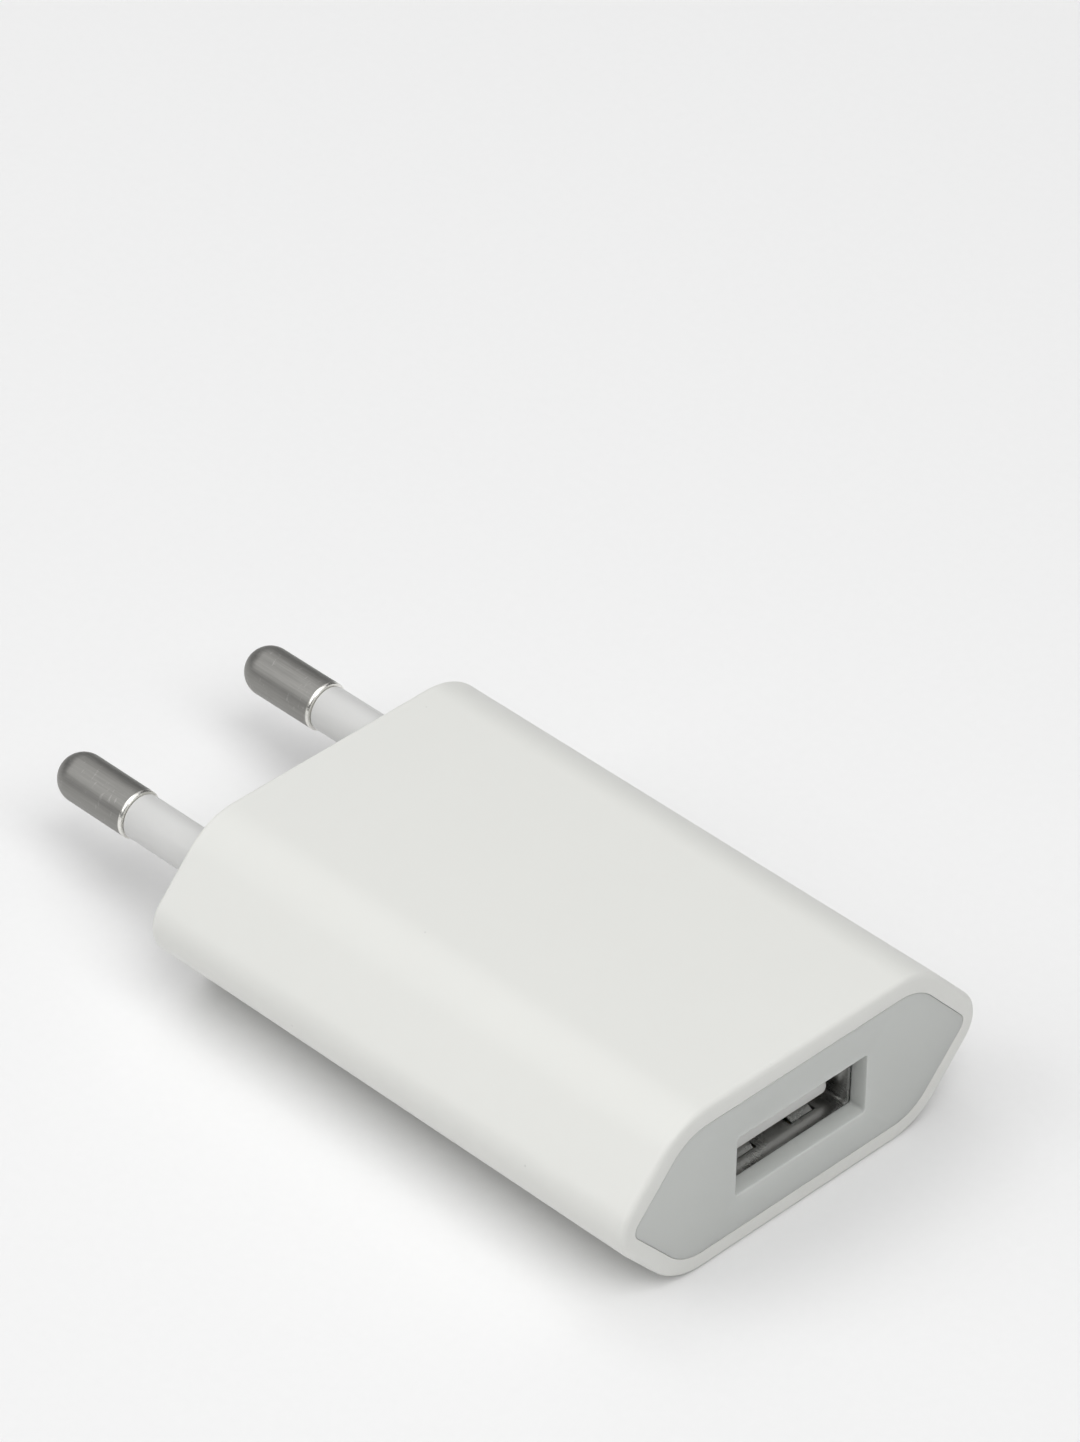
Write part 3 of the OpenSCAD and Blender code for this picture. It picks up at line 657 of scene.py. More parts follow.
def build_case(paint):
    """Six-sided shell, rounded at both ends, with rails for the board and two holes for the pins."""
    s = Skin()

    def rounded_end(x, fillet, towards):
        return [s.loop(x + towards * fillet * (1 - math.sin(a)), outer_outline(fillet * (1 - math.cos(a))))
                for a in quarter_turn(FILLET_STEPS)]

    rear = rounded_end(CASE.low.x, REAR_FILLET, 1)[::-1]
    front = rounded_end(CASE.high.x, FRONT_FILLET, -1)
    lip = 0.025
    cavity = case_outline(WALL, EDGE_R - WALL, INSIDE_R)
    mouth = [s.loop(CASE.high.x, case_outline(WALL - lip, EDGE_R - WALL + lip, INSIDE_R + lip)),
             s.loop(CASE.high.x - lip, cavity)]
    inside_x = CASE.low.x + REAR_WALL
    rail_end = s.loop(BOARD.high.x, cavity)
    s.wall(*rear, *front, *mouth, rail_end)
    rails = with_rails(cavity)
    rail_front, rail_back = s.loop(BOARD.high.x, rails), s.loop(inside_x, rails)
    s.flat(rail_end, rail_front)
    s.wall(rail_front, rail_back)
    outer_holes, inner_holes = [], []
    for side in (-1, 1):
        r, step = SLEEVE.size.z / 2, CASE.low.x + 0.12
        hole = [(CASE.low.x, r + 0.12), (step, r + 0.02), (step, SHANK_BORE), (inside_x, SHANK_BORE)]
        loops = [s.loop(x, ring(radius, middle=(side * PIN_Y, AXIS_Z))) for x, radius in hole]
        s.wall(*loops)
        outer_holes.append(loops[0])
        inner_holes.append(loops[-1])
    s.flat(rear[0], *outer_holes)
    s.flat(rail_back, *inner_holes)
    return s.finish("case", paint, "case_plastic", ["housing"], smooth=28)


def build_front_plate(paint):
    """Plate with a softened aperture and a skirt that goes back inside the case."""
    s = Skin()
    gap, lip, skirt_t, plate_t = 0.03, 0.03, 0.86, 1.5
    edge_r = EDGE_R - WALL
    front_x, back_x = PLATE.high.x, PLATE.high.x - plate_t
    hole_w, hole_h, hole_r, soft = 13.2, 5.2, 0.25, 0.12

    def hole(x, more):
        return s.loop(x, rectangle(hole_w + 2 * more, hole_h + 2 * more, hole_r + more, middle=(0, AXIS_Z)))

    edge = [(front_x, lip, lip), (front_x - lip * 0.3, lip * 0.3, 0), (front_x - lip, 0, 0),
            (PLATE.low.x, 0, 0), (PLATE.low.x, skirt_t, skirt_t), (back_x, skirt_t, skirt_t)]
    outer = [s.loop(x, case_outline(WALL + gap + inset, edge_r - cut, INSIDE_R)) for x, inset, cut in edge]
    s.wall(*outer)
    mouth = [(0, 1), (0.12, 0.55), (0.45, 0.15), (1, 0)]
    inner = [hole(front_x - soft * depth, soft * flare) for depth, flare in mouth] + [hole(back_x, 0)]
    s.wall(*inner)
    s.flat(outer[0], inner[0])
    s.flat(outer[-1], inner[-1])
    return s.finish("front_plate", paint, "front_plastic", ["face_plate"], smooth=35)


# ---- Pins and sleeves ----------------------------------------------------------------------------

PIN_RING = 0.32                     # length of the ring of painted highlight at the end of the bare metal
BARE_END = SLEEVE.low.x - 0.04      # where the bare metal ends, just short of the sleeve
SHANK_R = 1.5                       # radius of the pin inside its sleeve


def pin_profile():
    """Radius of a pin from its domed tip to the end of its shank."""
    r = PIN.size.z / 2
    tip = [(PIN.low.x + r * (1 - math.cos(a)), r * math.sin(a)) for a in quarter_turn(20)[1:]]
    ring_start = BARE_END - PIN_RING
    score = [(ring_start, r), (ring_start + 0.03, r - 0.03), (ring_start + 0.06, r)]
    end = [(BARE_END - 0.14, r), (BARE_END - 0.04, r - 0.05), (BARE_END, r - 0.15), (BARE_END, SHANK_R)]
    tail = [(PIN.high.x - 0.2, SHANK_R), (PIN.high.x, SHANK_R - 0.2)]
    return tip + score + end + tail


def build_pin(side, paint, name, node):
    s = Skin()
    s.turned(pin_profile(), (side * PIN_Y, AXIS_Z))
    return s.finish(name, paint, "pin_metal", [node], smooth=30)


def build_sleeve(side, paint, node):
    s = Skin()
    r, low, high = SLEEVE.size.z / 2, SLEEVE.low.x, SLEEVE.high.x
    profile = [(low, SHANK_BORE), (low, r - 0.12), (low + 0.04, r - 0.04), (low + 0.14, r), (high, r),
               (high, SHANK_BORE)]
    s.tube(profile, (side * PIN_Y, AXIS_Z))
    return s.finish(node + "_cover", paint, "sleeve_plastic", [node], smooth=30)


# ---- Outlet --------------------------------------------------------------------------------------

SOCKET_W, SOCKET_H, SHEET = 12.5, 5.12, 0.3      # the mouth of the shell and the thickness of its sheet
SPRING_W, SPRING_SLOT_W, SPRING_SLOT_L, SPRING_Y = 2.3, 2.6, 5.4, 3.0
TONGUE_W, TONGUE_T = 11.1, 1.8


def build_outlet_shell(paint):
    """Folded sheet with a flared mouth, windows with grip springs in them, and two legs."""
    s = Skin()
    end = SHELL.high.x
    window = (end - 1.15 - SPRING_SLOT_L, end - 1.15)
    stations = [SHELL.low.x, window[0], window[1], end - 0.22, end]
    cuts = sorted(side * SPRING_Y + edge * SPRING_SLOT_W / 2 for side in (-1, 1) for edge in (-1, 1))

    def section(width, height, radius):
        """Rounded rectangle with points at the sides of every window."""
        y, z = width / 2, height / 2
        arcs = rounded([(y, -z), (y, z), (-y, z), (-y, -z)], [radius] * 4, 5)
        made = []
        for i, p in enumerate(arcs):
            made.append(p)
            q = arcs[(i + 1) % len(arcs)]
            if abs(p.y - q.y) < 1e-6 and abs(p.x - q.x) > 4:
                made += [Vector((c, p.y)) for c in (cuts if q.x > p.x else reversed(cuts))]
        return [p + Vector((0, AXIS_Z)) for p in made]

    outer_w, outer_h = SOCKET_W + 2 * SHEET, SOCKET_H + 2 * SHEET
    outer = [s.loop(x, section(outer_w, outer_h, 0.6)) for x in stations]
    flares = [0.08 if x == end else 0 for x in stations]
    inner = [s.loop(x, section(SOCKET_W + 2 * flare, SOCKET_H + flare, 0.35))
             for x, flare in zip(stations, flares)]
    count = len(outer[0])
    is_window = []
    for i in range(count):
        a, b = outer[0][i].co / MM, outer[0][(i + 1) % count].co / MM
        middle = abs((a.y + b.y) / 2)
        is_window.append(abs(a.z - b.z) < 1e-6 and abs(middle - SPRING_Y) < 0.1)
    for k in range(len(stations) - 1):
        for i in range(count):
            j = (i + 1) % count
            if k == 1 and is_window[i]:
                for at in (i, j):
                    s.mesh.faces.new((outer[1][at], outer[2][at], inner[2][at], inner[1][at]))
                for row in (1, 2):
                    s.mesh.faces.new((outer[row][i], outer[row][j], inner[row][j], inner[row][i]))
            else:
                for skin in (outer, inner):
                    s.mesh.faces.new((skin[k][i], skin[k][j], skin[k + 1][j], skin[k + 1][i]))
    s.wall(outer[0], inner[0])
    s.wall(outer[-1], inner[-1])
    for up in (-1, 1):
        for side in (-1, 1):
            spring(s, window, side * SPRING_Y, up)
    leg_x, leg_half, leg_top = 25.2, 1.1, SHELL.high.z - outer_h + 1
    for side in (-1, 1):
        y = side * (outer_w - SHEET) / 2
        foot = (leg_x - leg_half, y - SHEET / 2, BOARD.low.z)
        s.box(foot, (leg_x + leg_half, y + SHEET / 2, leg_top), 0.05)
    return s.finish("outlet_shell", paint, "shell_steel", ["usb_shell"], smooth=35)


def spring(s, window, y, up):
    """A grip spring: a strip from the back of its window, bowed inwards and falling back at its tip."""
    start, end = window[0] - 0.01, window[1] - 0.1
    base = AXIS_Z + up * (SOCKET_H / 2 + SHEET / 2)
    half_sheet = SHEET * 0.35
    rows = []
    steps = 20
    for k in range(steps + 1):
        t = k / steps
        bow = 0.5 * math.sin(math.pi * max(0, (t - 0.1) / 0.9) ** 1.8)
        x, z = start + (end - start) * t, base - up * bow
        half_w = SPRING_W / 2 * (1 - 0.1 * t ** 3)
        crown = 0.05 * (1 - t)
        corners = [(-half_w, -half_sheet), (half_w, -half_sheet), (half_w, half_sheet),
                   (0, half_sheet + crown), (-half_w, half_sheet)]
        rows.append([s.mesh.verts.new(Vector((x, y + across, z - up * rise)) * MM)
                     for across, rise in corners])
    s.wall(*rows)
    s.mesh.faces.new(rows[0])
    s.mesh.faces.new(rows[-1])


def build_tongue(paint):
    """White block at the back of the outlet and the tongue in front of it."""
    s = Skin()
    back, front, block = TONGUE.low.x, TONGUE.high.x, TONGUE.low.x + 3.16
    tongue_z = AXIS_Z - 0.92
    block_loops = [s.loop(x, rectangle(SOCKET_W - 0.08 - d, SOCKET_H - 0.08 - d, 0.35, middle=(0, AXIS_Z)))
                   for x, d in ((back, 0), (block - 0.1, 0), (block, 0.2))]
    s.wall(*block_loops)
    s.flat(block_loops[0])
    nose, corner, slope_start = 0.2, 0.5, front - 1.4

    def section(x, inset):
        """The tongue's outline moved inwards, with a lead-in slope on its upper edge near the front."""
        lead = max(0, x - slope_start) * 0.5
        return s.loop(x, rectangle(TONGUE_W - 2 * inset, TONGUE_T - lead - 2 * inset, corner - inset * 0.9,
                                   middle=(0, tongue_z - lead / 2)))

    loops = [section(block, 0), section(slope_start, 0)]
    loops += [section(front - nose * (1 - math.sin(a)), nose * (1 - math.cos(a))) for a in quarter_turn(6)]
    s.wall(*loops)
    s.flat(block_loops[-1], loops[0])
    s.flat(loops[-1])
    return s.finish("tongue", paint, "tongue_plastic", ["usb_insulator"], smooth=40)


# ---- Power supply --------------------------------------------------------------------------------

def build_can(node, paint, name):
    """Drawn can lying along X: open mouth, crimped groove, rounded closed end with a shallow dish."""
    can = span(node)
    s = Skin()
    r, low, high = can.size.z / 2, can.low.x, can.high.x
    mouth = r - 0.4
    groove = [(low + 1.1 + 0.8 * k / 8, r - r / 20 * math.sin(math.pi * k / 8) ** 2) for k in range(9)]
    end = [(high - 0.4 * (1 - math.sin(a)), r - 0.4 * (1 - math.cos(a))) for a in quarter_turn(5)]
    dish = [(high, r - 0.8), (high - 0.06, r - 1.0), (high - 0.06, 0.4)]
    inside = [(low + 1.0, 0.4), (low + 1.0, mouth), (low + 0.05, mouth), (low, mouth + 0.1), (low, r - 0.1),
              (low + 0.1, r)]
    s.turned(inside + groove + end + dish, (can.mid.y, can.mid.z))
    return s.finish(name, paint, "can_aluminium", [node], smooth=35)


def build_wrap(node, can_node, paint, slot, name):
    """Film shrunk on a can, curled over the edge of its closed end."""
    film, can = span(node), span(can_node)
    s = Skin()
    out, under = film.size.z / 2, can.size.z / 2 + 0.01
    low, high = film.low.x, film.high.x
    profile = [(low, under), (low + 0.02, out - 0.04), (low + 0.12, out), (high - 0.2, out),
               (high - 0.06, out - 0.02), (high, out - 0.06), (high, under)]
    s.tube(profile, (film.mid.y, film.mid.z))
    return s.finish(name, paint, slot, [node], smooth=35)


def build_disc(node, paint):
    """Dipped disc capacitor: a lens with a thick rounded rim, standing across Y."""
    disc = span(node)
    s = Skin("y")
    r, half = disc.size.x / 2, disc.size.y / 2
    steps = 16
    angles = [math.pi * k / steps for k in range(1, steps)]
    profile = [(disc.mid.y - half * math.cos(a), r * math.sin(a) ** 0.55) for a in angles]
    s.turned([(disc.low.y, 0.5)] + profile + [(disc.high.y, 0.5)], (disc.mid.x, disc.mid.z))
    return s.finish("safety_disc", paint, "blue_epoxy", [node], smooth=50)


def build_fuse(node, paint):
    """Fusible resistor across Y: thicker ends, a waist between them and coats that run out to the wires."""
    body = span(node)
    s = Skin("y")
    half, r = body.size.y / 2, body.size.z / 2
    outline = [(0, 0.45), (0.12, 0.8), (0.35, 0.95), (0.9, 1), (1.5, 0.98), (2.0, 0.88), (2.6, 0.84)]
    start = [(body.low.y + d, r * f) for d, f in outline]
    end = [(body.high.y - d, r * f) for d, f in reversed(outline)]
    s.turned(start + end, (body.mid.x, body.mid.z))
    return s.finish("fuse_body", paint, "fuse_lacquer", [node], smooth=50)


def build_package(node, paint, draft=0.12, edge=0.08, dot=None):
    """Moulded chip body, widest at its parting line, with an optional round dimple in its top."""
    body = span(node)
    s = Skin("z")
    middle = (body.mid.x, body.mid.y)
    levels = [(0, draft + edge), (edge, draft), (0.5, 0), (1 - edge, draft), (1, draft + edge)]
    loops = [s.loop(body.low.z + body.size.z * level,
                    rectangle(body.size.x - 2 * inset, body.size.y - 2 * inset, 0.1, 3, middle))
             for level, inset in levels]
    s.wall(*loops)
    s.flat(loops[0])
    if dot:
        spot = (body.mid.x + dot[0], body.mid.y + dot[1])
        rim, floor = (s.loop(body.high.z - drop, ring(r, 24, spot)) for drop, r in ((0, 0.4), (0.08, 0.34)))
        s.flat(loops[-1], rim)
        s.wall(rim, floor)
        s.flat(floor)
    else:
        s.flat(loops[-1])
    return s.finish(node + "_body", paint, "black_epoxy", [node], smooth=30)


def build_tape(node, paint, radius, name):
    """Band of tape round the transformer, with rounded edges: the winding's about X, the core's about Z."""
    band = span(node)
    about_x = node == "winding_tape"
    s = Skin("x" if about_x else "z")
    i, j, k = (0, 1, 2) if about_x else (2, 0, 1)
    low, high = band.low[i], band.high[i]
    middle = (band.mid[j], band.mid[k])
    width, height = band.size[j], band.size[k]
    thick = 0.14 if about_x else 0.09
    profile = [(low, thick), (low, 0.03), (low + 0.04, 0), (high - 0.04, 0), (high, 0.03), (high, thick)]
    loops = [s.loop(at, rectangle(width - 2 * inset, height - 2 * inset, radius - inset, 6, middle))
             for at, inset in profile]
    s.wall(*loops, loops[0])
    return s.finish(name, paint, "tape_film", [node], smooth=35)


def grow_layers(node, thick, wire, paint, slot, name):
    """Turns of wire round the bobbin, in as many layers as the winding is thick: a loop at every pitch."""
    winding = span(node)
    layers = round(thick / wire)
    count = int(winding.size.x / wire)
    g = Grown(name, Turns=count, Pitch=winding.size.x / count, Wire=wire, Start=winding.low.x,
              Width=winding.size.y, Height=winding.size.z, Middle=winding.mid.z)
    rows = []
    for layer in range(layers):
        inset = g.size("Wire") * (2 * layer + 1)
        outline = g.node("GeometryNodeCurvePrimitiveQuadrilateral", {"mode": "RECTANGLE"},
                         {"Width": g.size("Width") - inset, "Height": g.size("Height") - inset})
        soft = g.node("GeometryNodeFilletCurve", {"mode": "POLY"},
                      {"Curve": outline, "Radius": g.size("Wire") * (3.2 - 0.8 * layer), "Count": 4})
        start = g.vector(g.size("Start") + g.size("Pitch") / 2, 0.0, g.size("Middle"))
        line = g.line(g.size("Turns"), start, g.vector(g.size("Pitch")))
        rows.append(g.at_spots(g.wire(soft), line, Rotation=(math.pi / 2, 0.0, math.pi / 2)))
    return g.finish(g.joined(rows), paint, slot, [node])


def grow_choke(node, core_node, wire, paint):
    """Helical layers of wire between the choke's flanges."""
    winding, core = span(node), span(core_node)
    inner, outer = 1.55, winding.size.x / 2
    layers = 3
    pitch = (outer - inner) / layers
    turns = (winding.size.z - pitch) / pitch
    g = Grown("choke_turns", Wire=min(wire, pitch), Height=winding.size.z - pitch, Inner=inner,
              Step=pitch, Base=winding.low.z + pitch / 2, Centre=core.mid.x)
    rows = []
    for layer in range(layers):
        radius = g.size("Inner") + g.size("Step") * (layer + 0.5)
        helix = g.node("GeometryNodeCurveSpiral", {},
                       {"Resolution": 28, "Rotations": turns, "Start Radius": radius, "End Radius": radius,
                        "Height": g.size("Height"), "Reverse": layer % 2 == 1})
        rows.append(g.wire(helix))
    centre = g.vector(g.size("Centre"), 0.0, g.size("Base"))
    placed = g.node("GeometryNodeTransform", {}, {"Geometry": g.joined(rows), "Translation": centre})
    return g.finish(placed, paint, "copper_enamel", [node])


def grow_joints(node, paint):
    """Solder joints: a round fillet that climbs to the wire, at every joint under the board."""
    joints = solids(node)
    low, high = joints[0].low.z, joints[0].high.z
    g = Grown("solder_fillets", [(j.mid.x, j.mid.y, (low + high) / 2) for j in joints],
              Radius=joints[0].size.x / 2, Height=high - low, Sides=20)
    blank = g.node("GeometryNodeMeshCylinder", {},
                   {"Vertices": g.size("Sides"), "Side Segments": 7, "Fill Segments": 2,
                    "Radius": g.size("Radius"), "Depth": g.size("Height")})
    x, y, z = g.parts(g.node("GeometryNodeInputPosition", {}, {}))
    rise = z / g.size("Height") + 0.5
    width = 0.34 + 0.66 * (rise * 0.999 + 0.001) ** 1.8
    shaped = g.node("GeometryNodeSetPosition", {},
                    {"Geometry": blank, "Position": g.vector(x * width, y * width, z)})
    return g.finish(g.at_spots(shaped), paint, "solder", [node], smooth=50)


def grow_chips(node, paint, slot, name, along):
    """Small chip parts under the board: a block with rounded edges at every place.

    Each point's place along its chip is kept under the given name, for the paint."""
    chips = solids(node)
    size = chips[0].size
    g = Grown(name, [chip.mid for chip in chips], Length=size.x, Width=size.y, Height=size.z, Edge=0.06)
    block = g.node("GeometryNodeMeshCube", {},
                   {"Size": g.vector(g.size("Length"), g.size("Width"), g.size("Height")), "Vertices X": 7,
                    "Vertices Y": 5, "Vertices Z": 4})
    x, y, z = g.parts(g.node("GeometryNodeInputPosition", {}, {}))
    kept = g.node("GeometryNodeStoreNamedAttribute", {"data_type": "FLOAT", "domain": "POINT"},
                  {"Geometry": block, "Name": along, "Value": x / MM})
    corner = (abs(x) * 2 / g.size("Length")) ** 12 + (abs(y) * 2 / g.size("Width")) ** 12 \
        + (abs(z) * 2 / g.size("Height")) ** 12
    pull = 1 - g.size("Edge") / g.size("Height") * corner.maths("MAXIMUM", corner - 1, 0.0)
    shaped = g.node("GeometryNodeSetPosition", {},
                    {"Geometry": kept, "Position": g.vector(x * pull, y * pull, z * pull)})
    return g.finish(g.at_spots(shaped), paint, slot, [node], smooth=45)


def grow_contacts(node, paint):
    """Outlet contacts: a strip bent down into the board and bowed near its nose, at two pairs of places."""
    strips = solids(node)
    one = strips[0]
    thick, bow = 0.19, 0.12
    back, front = one.low.x + thick / 2, one.high.x
    path = [(back, 0, one.low.z), (back, 0, AXIS_Z), (front - 3.2, 0, AXIS_Z), (front - 1.5, 0, AXIS_Z + bow),
            (front - 0.4, 0, AXIS_Z), (front, 0, AXIS_Z)]
    g = Grown("outlet_contacts", path, Width=one.size.y * 0.97, Thick=thick, Bend=0.3,
              Inner=strips[2].mid.y, Outer=strips[3].mid.y)
    curve = g.node("GeometryNodeMeshToCurve", {}, {"Mesh": g.size("Spots")})
    bent = g.node("GeometryNodeFilletCurve", {"mode": "POLY"},
                  {"Curve": curve, "Radius": g.size("Bend"), "Count": 5, "Limit Radius": True})
    flat = g.node("GeometryNodeCurvePrimitiveQuadrilateral", {"mode": "RECTANGLE"},
                  {"Width": g.size("Width"), "Height": g.size("Thick")})
    strip = g.swept(bent, flat)
    rows = [g.at_spots(strip, g.line(2, g.vector(0.0, -g.size(pair)), g.vector(0.0, g.size(pair) * 2)))
            for pair in ("Inner", "Outer")]
    return g.finish(g.joined(rows), paint, "contact_gold", [node])


# ---- Stage, light and camera ---------------------------------------------------------------------

def camera():
    """Long lens from above the outlet end's right-hand side; the part sits low in the frame."""
    azimuth, elevation, roll = map(math.radians, (44.7, 38.9, 0.83))
    distance, lens = 0.5604, 193.6
    look_at = Vector((5.25, 0, AXIS_Z)) * MM
    right_of_part, above_part = 0.00134, 0.01619
    back = Vector((math.sin(azimuth) * math.cos(elevation), -math.cos(azimuth) * math.cos(elevation),
                   math.sin(elevation)))
    right = Vector((math.cos(azimuth), math.sin(azimuth), 0))
    up = back.cross(right)
    tilted_right = right * math.cos(roll) + up * math.sin(roll)
    tilted_up = up * math.cos(roll) - right * math.sin(roll)
    eye = look_at + back * distance
    backwards = (eye - look_at - tilted_right * right_of_part - tilted_up * above_part).normalized()
    across = tilted_up.cross(backwards).normalized()
    turn = Matrix((across, backwards.cross(across), backwards)).transposed()
    made = bpy.data.objects.new("camera", bpy.data.cameras.new("camera"))
    made.data.lens = lens
    made.data.sensor_width = 36
    made.data.clip_start, made.data.clip_end = 0.01, 20
    made.matrix_world = Matrix.Translation(eye) @ turn.to_4x4()
    bpy.context.scene.collection.objects.link(made)
    bpy.context.scene.camera = made


def softbox(name, place_at, size, power):
    """A rectangular area light that faces the part."""
    light = bpy.data.lights.new(name, "AREA")
    light.shape, light.size, light.size_y = "RECTANGLE", *size
    light.energy = power
    made = bpy.data.objects.new(name, light)
    made.location = place_at
    made.rotation_mode = "QUATERNION"
    made.rotation_quaternion = (-Vector(place_at)).to_track_quat("-Z", "Y")
    bpy.context.scene.collection.objects.link(made)


def stage():
    """Pale paper floor, faint even light from all round and four large softboxes."""
    scene = bpy.context.scene
    scene.view_settings.view_transform = "Standard"
    world = bpy.data.worlds.new("studio")
    world.use_nodes = True
    glow = world.node_tree.nodes["Background"].inputs
    glow["Color"].default_value = (1, 1, 1, 1)
    glow["Strength"].default_value = 0.12
    scene.world = world
    work = bmesh.new()
    bmesh.ops.create_grid(work, x_segments=1, y_segments=1, size=3)
    data = bpy.data.meshes.new("floor")
    work.to_mesh(data)
    work.free()
    floor = bpy.data.objects.new("floor", data)
    paint = Paint("floor_paper", roughness=0.9)
    grain = paint.noise(0.8, 2)
    data.materials.append(paint.set(base_color=paint.mix((0.87, 0.87, 0.87), (0.89, 0.89, 0.89), grain)))
    scene.collection.objects.link(floor)
    softbox("overhead_light", (-0.2, -0.1, 1.2), (1.4, 1.4), 6.6)
    softbox("right_hand_light", (-0.55, -0.9, 0.85), (1.0, 0.9), 5.0)
    softbox("pin_end_light", (-0.8, 0.5, 1.0), (1.1, 1.1), 2.2)
    softbox("outlet_light", (0.85, -0.27, 1.25), (1.1, 1.1), 12.2)


# ---- Build ---------------------------------------------------------------------------------------

camera()
stage()

WHITE = (0.765, 0.768, 0.738)
GREY = (0.57, 0.586, 0.567)
TIN = (0.62, 0.62, 0.61)
case_paint = case_plastic("case_plastic", WHITE, 0.48)
plate_paint = satin_plastic("front_plastic", GREY, 0.42, grain=0.1, depth=0.003, speck=0.015,
                            subsurface_weight=0.6, subsurface_scale=1.6 * MM)
# the pale colour and the place it starts make the ring of painted highlight at the pins' sleeve end
pin_paint = pin_plating("pin_metal", (0.33, 0.325, 0.31), (0.85, 0.84, 0.80), BARE_END - PIN_RING)
sleeve_paint = satin_plastic("sleeve_plastic", (0.66, 0.66, 0.65), 0.34, grain=0.2, depth=0.002, speck=0.02)
shell_paint = plated_metal("shell_steel", (0.56, 0.56, 0.55), 0.17, lines=(8, 1, 1), worn=0.14)
tongue_paint = satin_plastic("tongue_plastic", (0.86, 0.86, 0.84), 0.4, grain=0.1, depth=0.002, speck=0.02)
contact_paint = plated_metal("contact_gold", (0.80, 0.62, 0.28), 0.2, lines=(8, 1, 1))
wire_paint = plated_metal("tinned_wire", TIN, 0.24, lines=(1, 1, 10))
brass_paint = plated_metal("terminal_brass", (0.72, 0.53, 0.24), 0.3, lines=(1, 8, 1))
can_paint = plated_metal("can_aluminium", (0.72, 0.72, 0.73), 0.3, lines=(1, 6, 6))
block_paint = satin_plastic("block_plastic", (0.66, 0.62, 0.50), 0.5, grain=0.15, depth=0.01, speck=0.05)
bobbin_paint = satin_plastic("bobbin_plastic", (0.035, 0.035, 0.037), 0.45, grain=0.1, depth=0.008,
                             speck=0.25)
rubber_paint = satin_plastic("bung_rubber", (0.03, 0.03, 0.032), 0.65, grain=0.08, depth=0.01, speck=0.2)
epoxy_paint = satin_plastic("black_epoxy", (0.022, 0.022, 0.025), 0.55, grain=0.06, depth=0.01, speck=0.35)
board_paint = board_laminate("board_laminate", (0.02, 0.12, 0.045), (0.05, 0.24, 0.08), (0.42, 0.40, 0.20))
sheet_paint = pressed_sheet("insulation_paper", (0.60, 0.54, 0.36))
ferrite_paint = pressed_ferrite("ferrite", (0.07, 0.07, 0.075))
tape_paint = tape_film("tape_film", (0.78, 0.56, 0.05))
enamel_paint = wound_wire("copper_enamel", (0.42, 0.13, 0.035), 0.22)
insulated_paint = wound_wire("insulated_wire", (0.55, 0.12, 0.03), 0.35)
solder_paint = set_solder("solder", (0.74, 0.74, 0.73))
BROWN, BLACK, GOLD = (0.15, 0.05, 0.02), (0.01, 0.01, 0.01), (0.45, 0.30, 0.08)
fuse_bands = [(-1.1, BROWN), (-0.3, BLACK), (0.5, BLACK), (1.4, GOLD)]
fuse_paint = dipped_lacquer("fuse_lacquer", (0.10, 0.30, 0.34), fuse_bands, span("fuse_resistor").mid.y, 0.2)
disc_paint = dipped_lacquer("blue_epoxy", (0.02, 0.10, 0.42))

build_case(case_paint)
build_front_plate(plate_paint)
for side, hand in ((1, "left"), (-1, "right")):
    build_pin(side, pin_paint, f"pin_{hand}_turned", f"pin_{hand}")
    build_sleeve(side, sleeve_paint, f"pin_sleeve_{hand}")
    softened(f"terminal_{hand}", brass_paint, "terminal_brass", 0.06)
build_outlet_shell(shell_paint)
build_tongue(tongue_paint)
grow_contacts("usb_contacts", contact_paint)
softened("pin_block", block_paint, "block_plastic", 0.25)

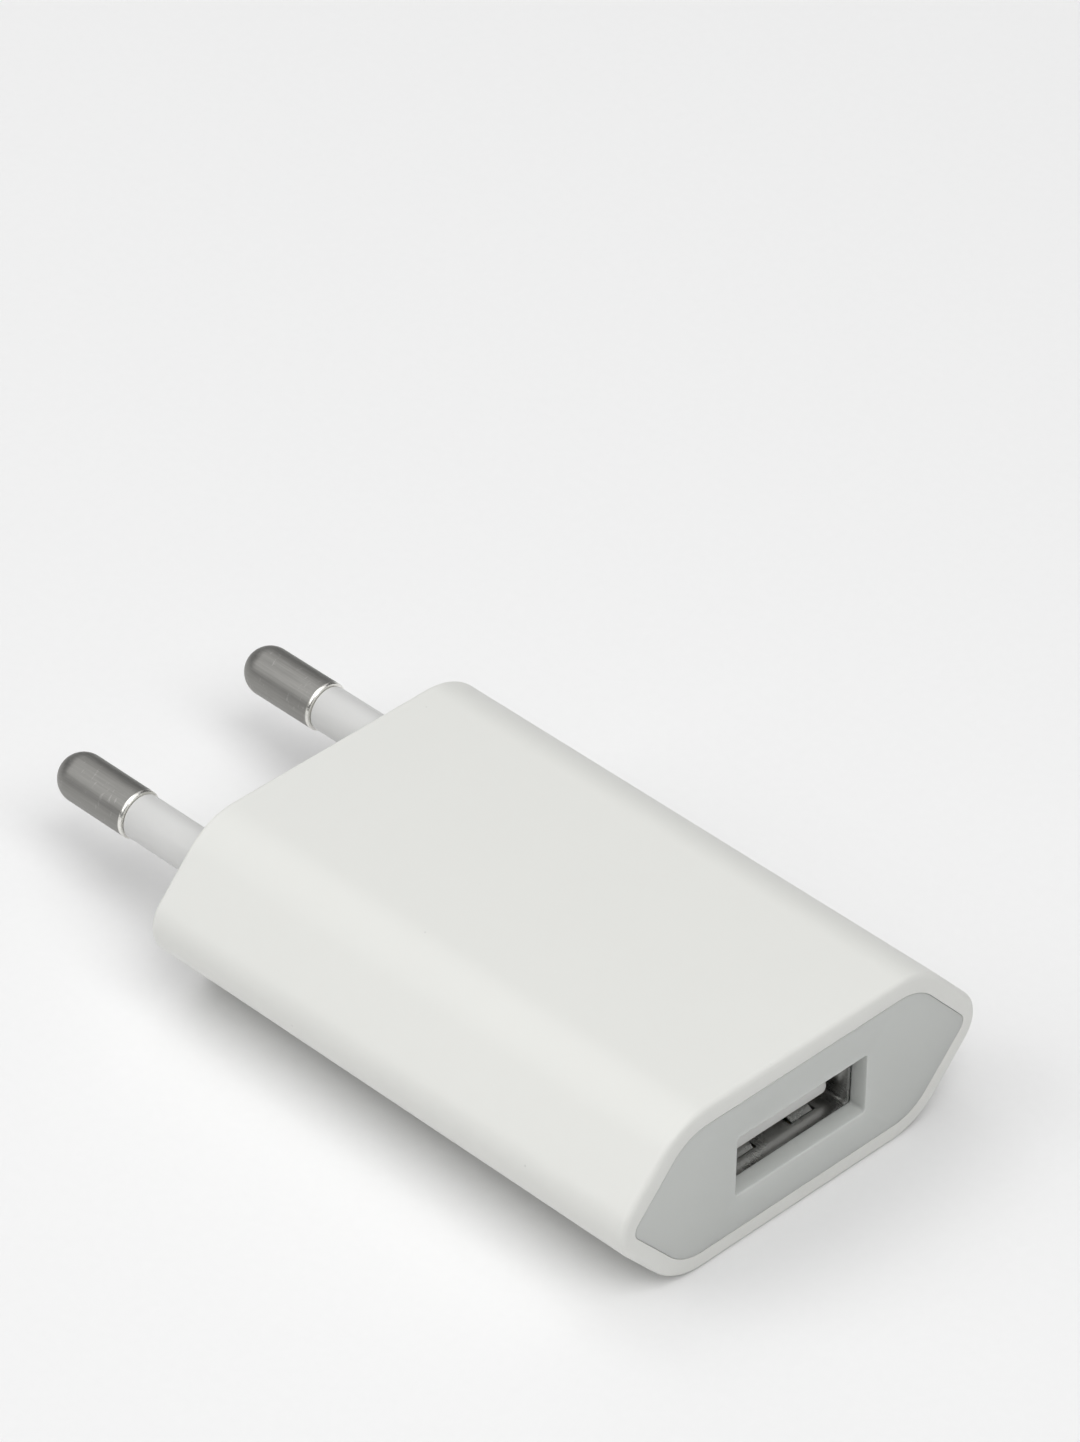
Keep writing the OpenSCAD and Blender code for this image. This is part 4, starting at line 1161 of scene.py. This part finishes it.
for bank, film in (("input", (0.012, 0.02, 0.045)), ("output", (0.02, 0.09, 0.06))):
    film_span = span(f"{bank}_wrap_left")
    film_paint = shrunk_film(f"{bank}_wrap_film", film, (0.55, 0.58, 0.60), film_span.mid.y,
                             film_span.size.z * 0.22)
    for hand in ("left", "right"):
        build_can(f"{bank}_can_{hand}", can_paint, f"{bank}_can_{hand}_drawn")
        build_wrap(f"{bank}_wrap_{hand}", f"{bank}_can_{hand}", film_paint, f"{bank}_wrap_film",
                   f"{bank}_wrap_{hand}_shrunk")
for bung in ("input_bung_left", "input_bung_right", "output_bungs"):
    finish_node(bung, rubber_paint)

for half in ("rear", "front"):
    softened(f"transformer_core_{half}", ferrite_paint, "ferrite", 0.15)
softened("transformer_bobbin", bobbin_paint, "bobbin_plastic", 0.08)
PRIMARY_T, PRIMARY_WIRE = 0.71, 0.236     # thickness of the winding and of its wire
SECONDARY_WIRE = 0.41                     # a single layer
grow_layers("primary_winding", PRIMARY_T, PRIMARY_WIRE, enamel_paint, "copper_enamel", "primary_turns")
grow_layers("secondary_winding", SECONDARY_WIRE, SECONDARY_WIRE, insulated_paint, "insulated_wire",
            "secondary_turns")
build_tape("winding_tape", tape_paint, 1.0, "winding_tape_wound")
build_tape("core_band", tape_paint, 0.2, "core_band_wound")
finish_node("choke_core", ferrite_paint)
grow_choke("choke_winding", "choke_core", 0.38, enamel_paint)

build_fuse("fuse_resistor", fuse_paint)
build_disc("safety_capacitor", disc_paint)
build_package("bridge_rectifier", epoxy_paint)
build_package("control_chip", epoxy_paint, dot=(-1.1, 1.7))
build_package("output_diode", epoxy_paint)
for wires in ("fuse_leads", "bridge_legs", "input_cap_leads", "choke_leads", "transformer_pins",
              "safety_capacitor_leads", "control_chip_legs", "output_diode_tabs", "output_cap_leads"):
    finish_node(wires, wire_paint)

finish_node("main_board", board_paint)
finish_node("insulation_sheet", sheet_paint)
for kind, ceramic, body in (("resistors", "chip_black_ceramic", (0.02, 0.02, 0.022)),
                            ("capacitors", "chip_tan_ceramic", (0.36, 0.24, 0.13))):
    chip_paint = fired_ceramic(ceramic, body, TIN, solids(f"chip_{kind}")[0].size.x / 2)
    grow_chips(f"chip_{kind}", chip_paint, ceramic, f"{kind}_under_board", "along")
grow_joints("solder_joints", solder_paint)
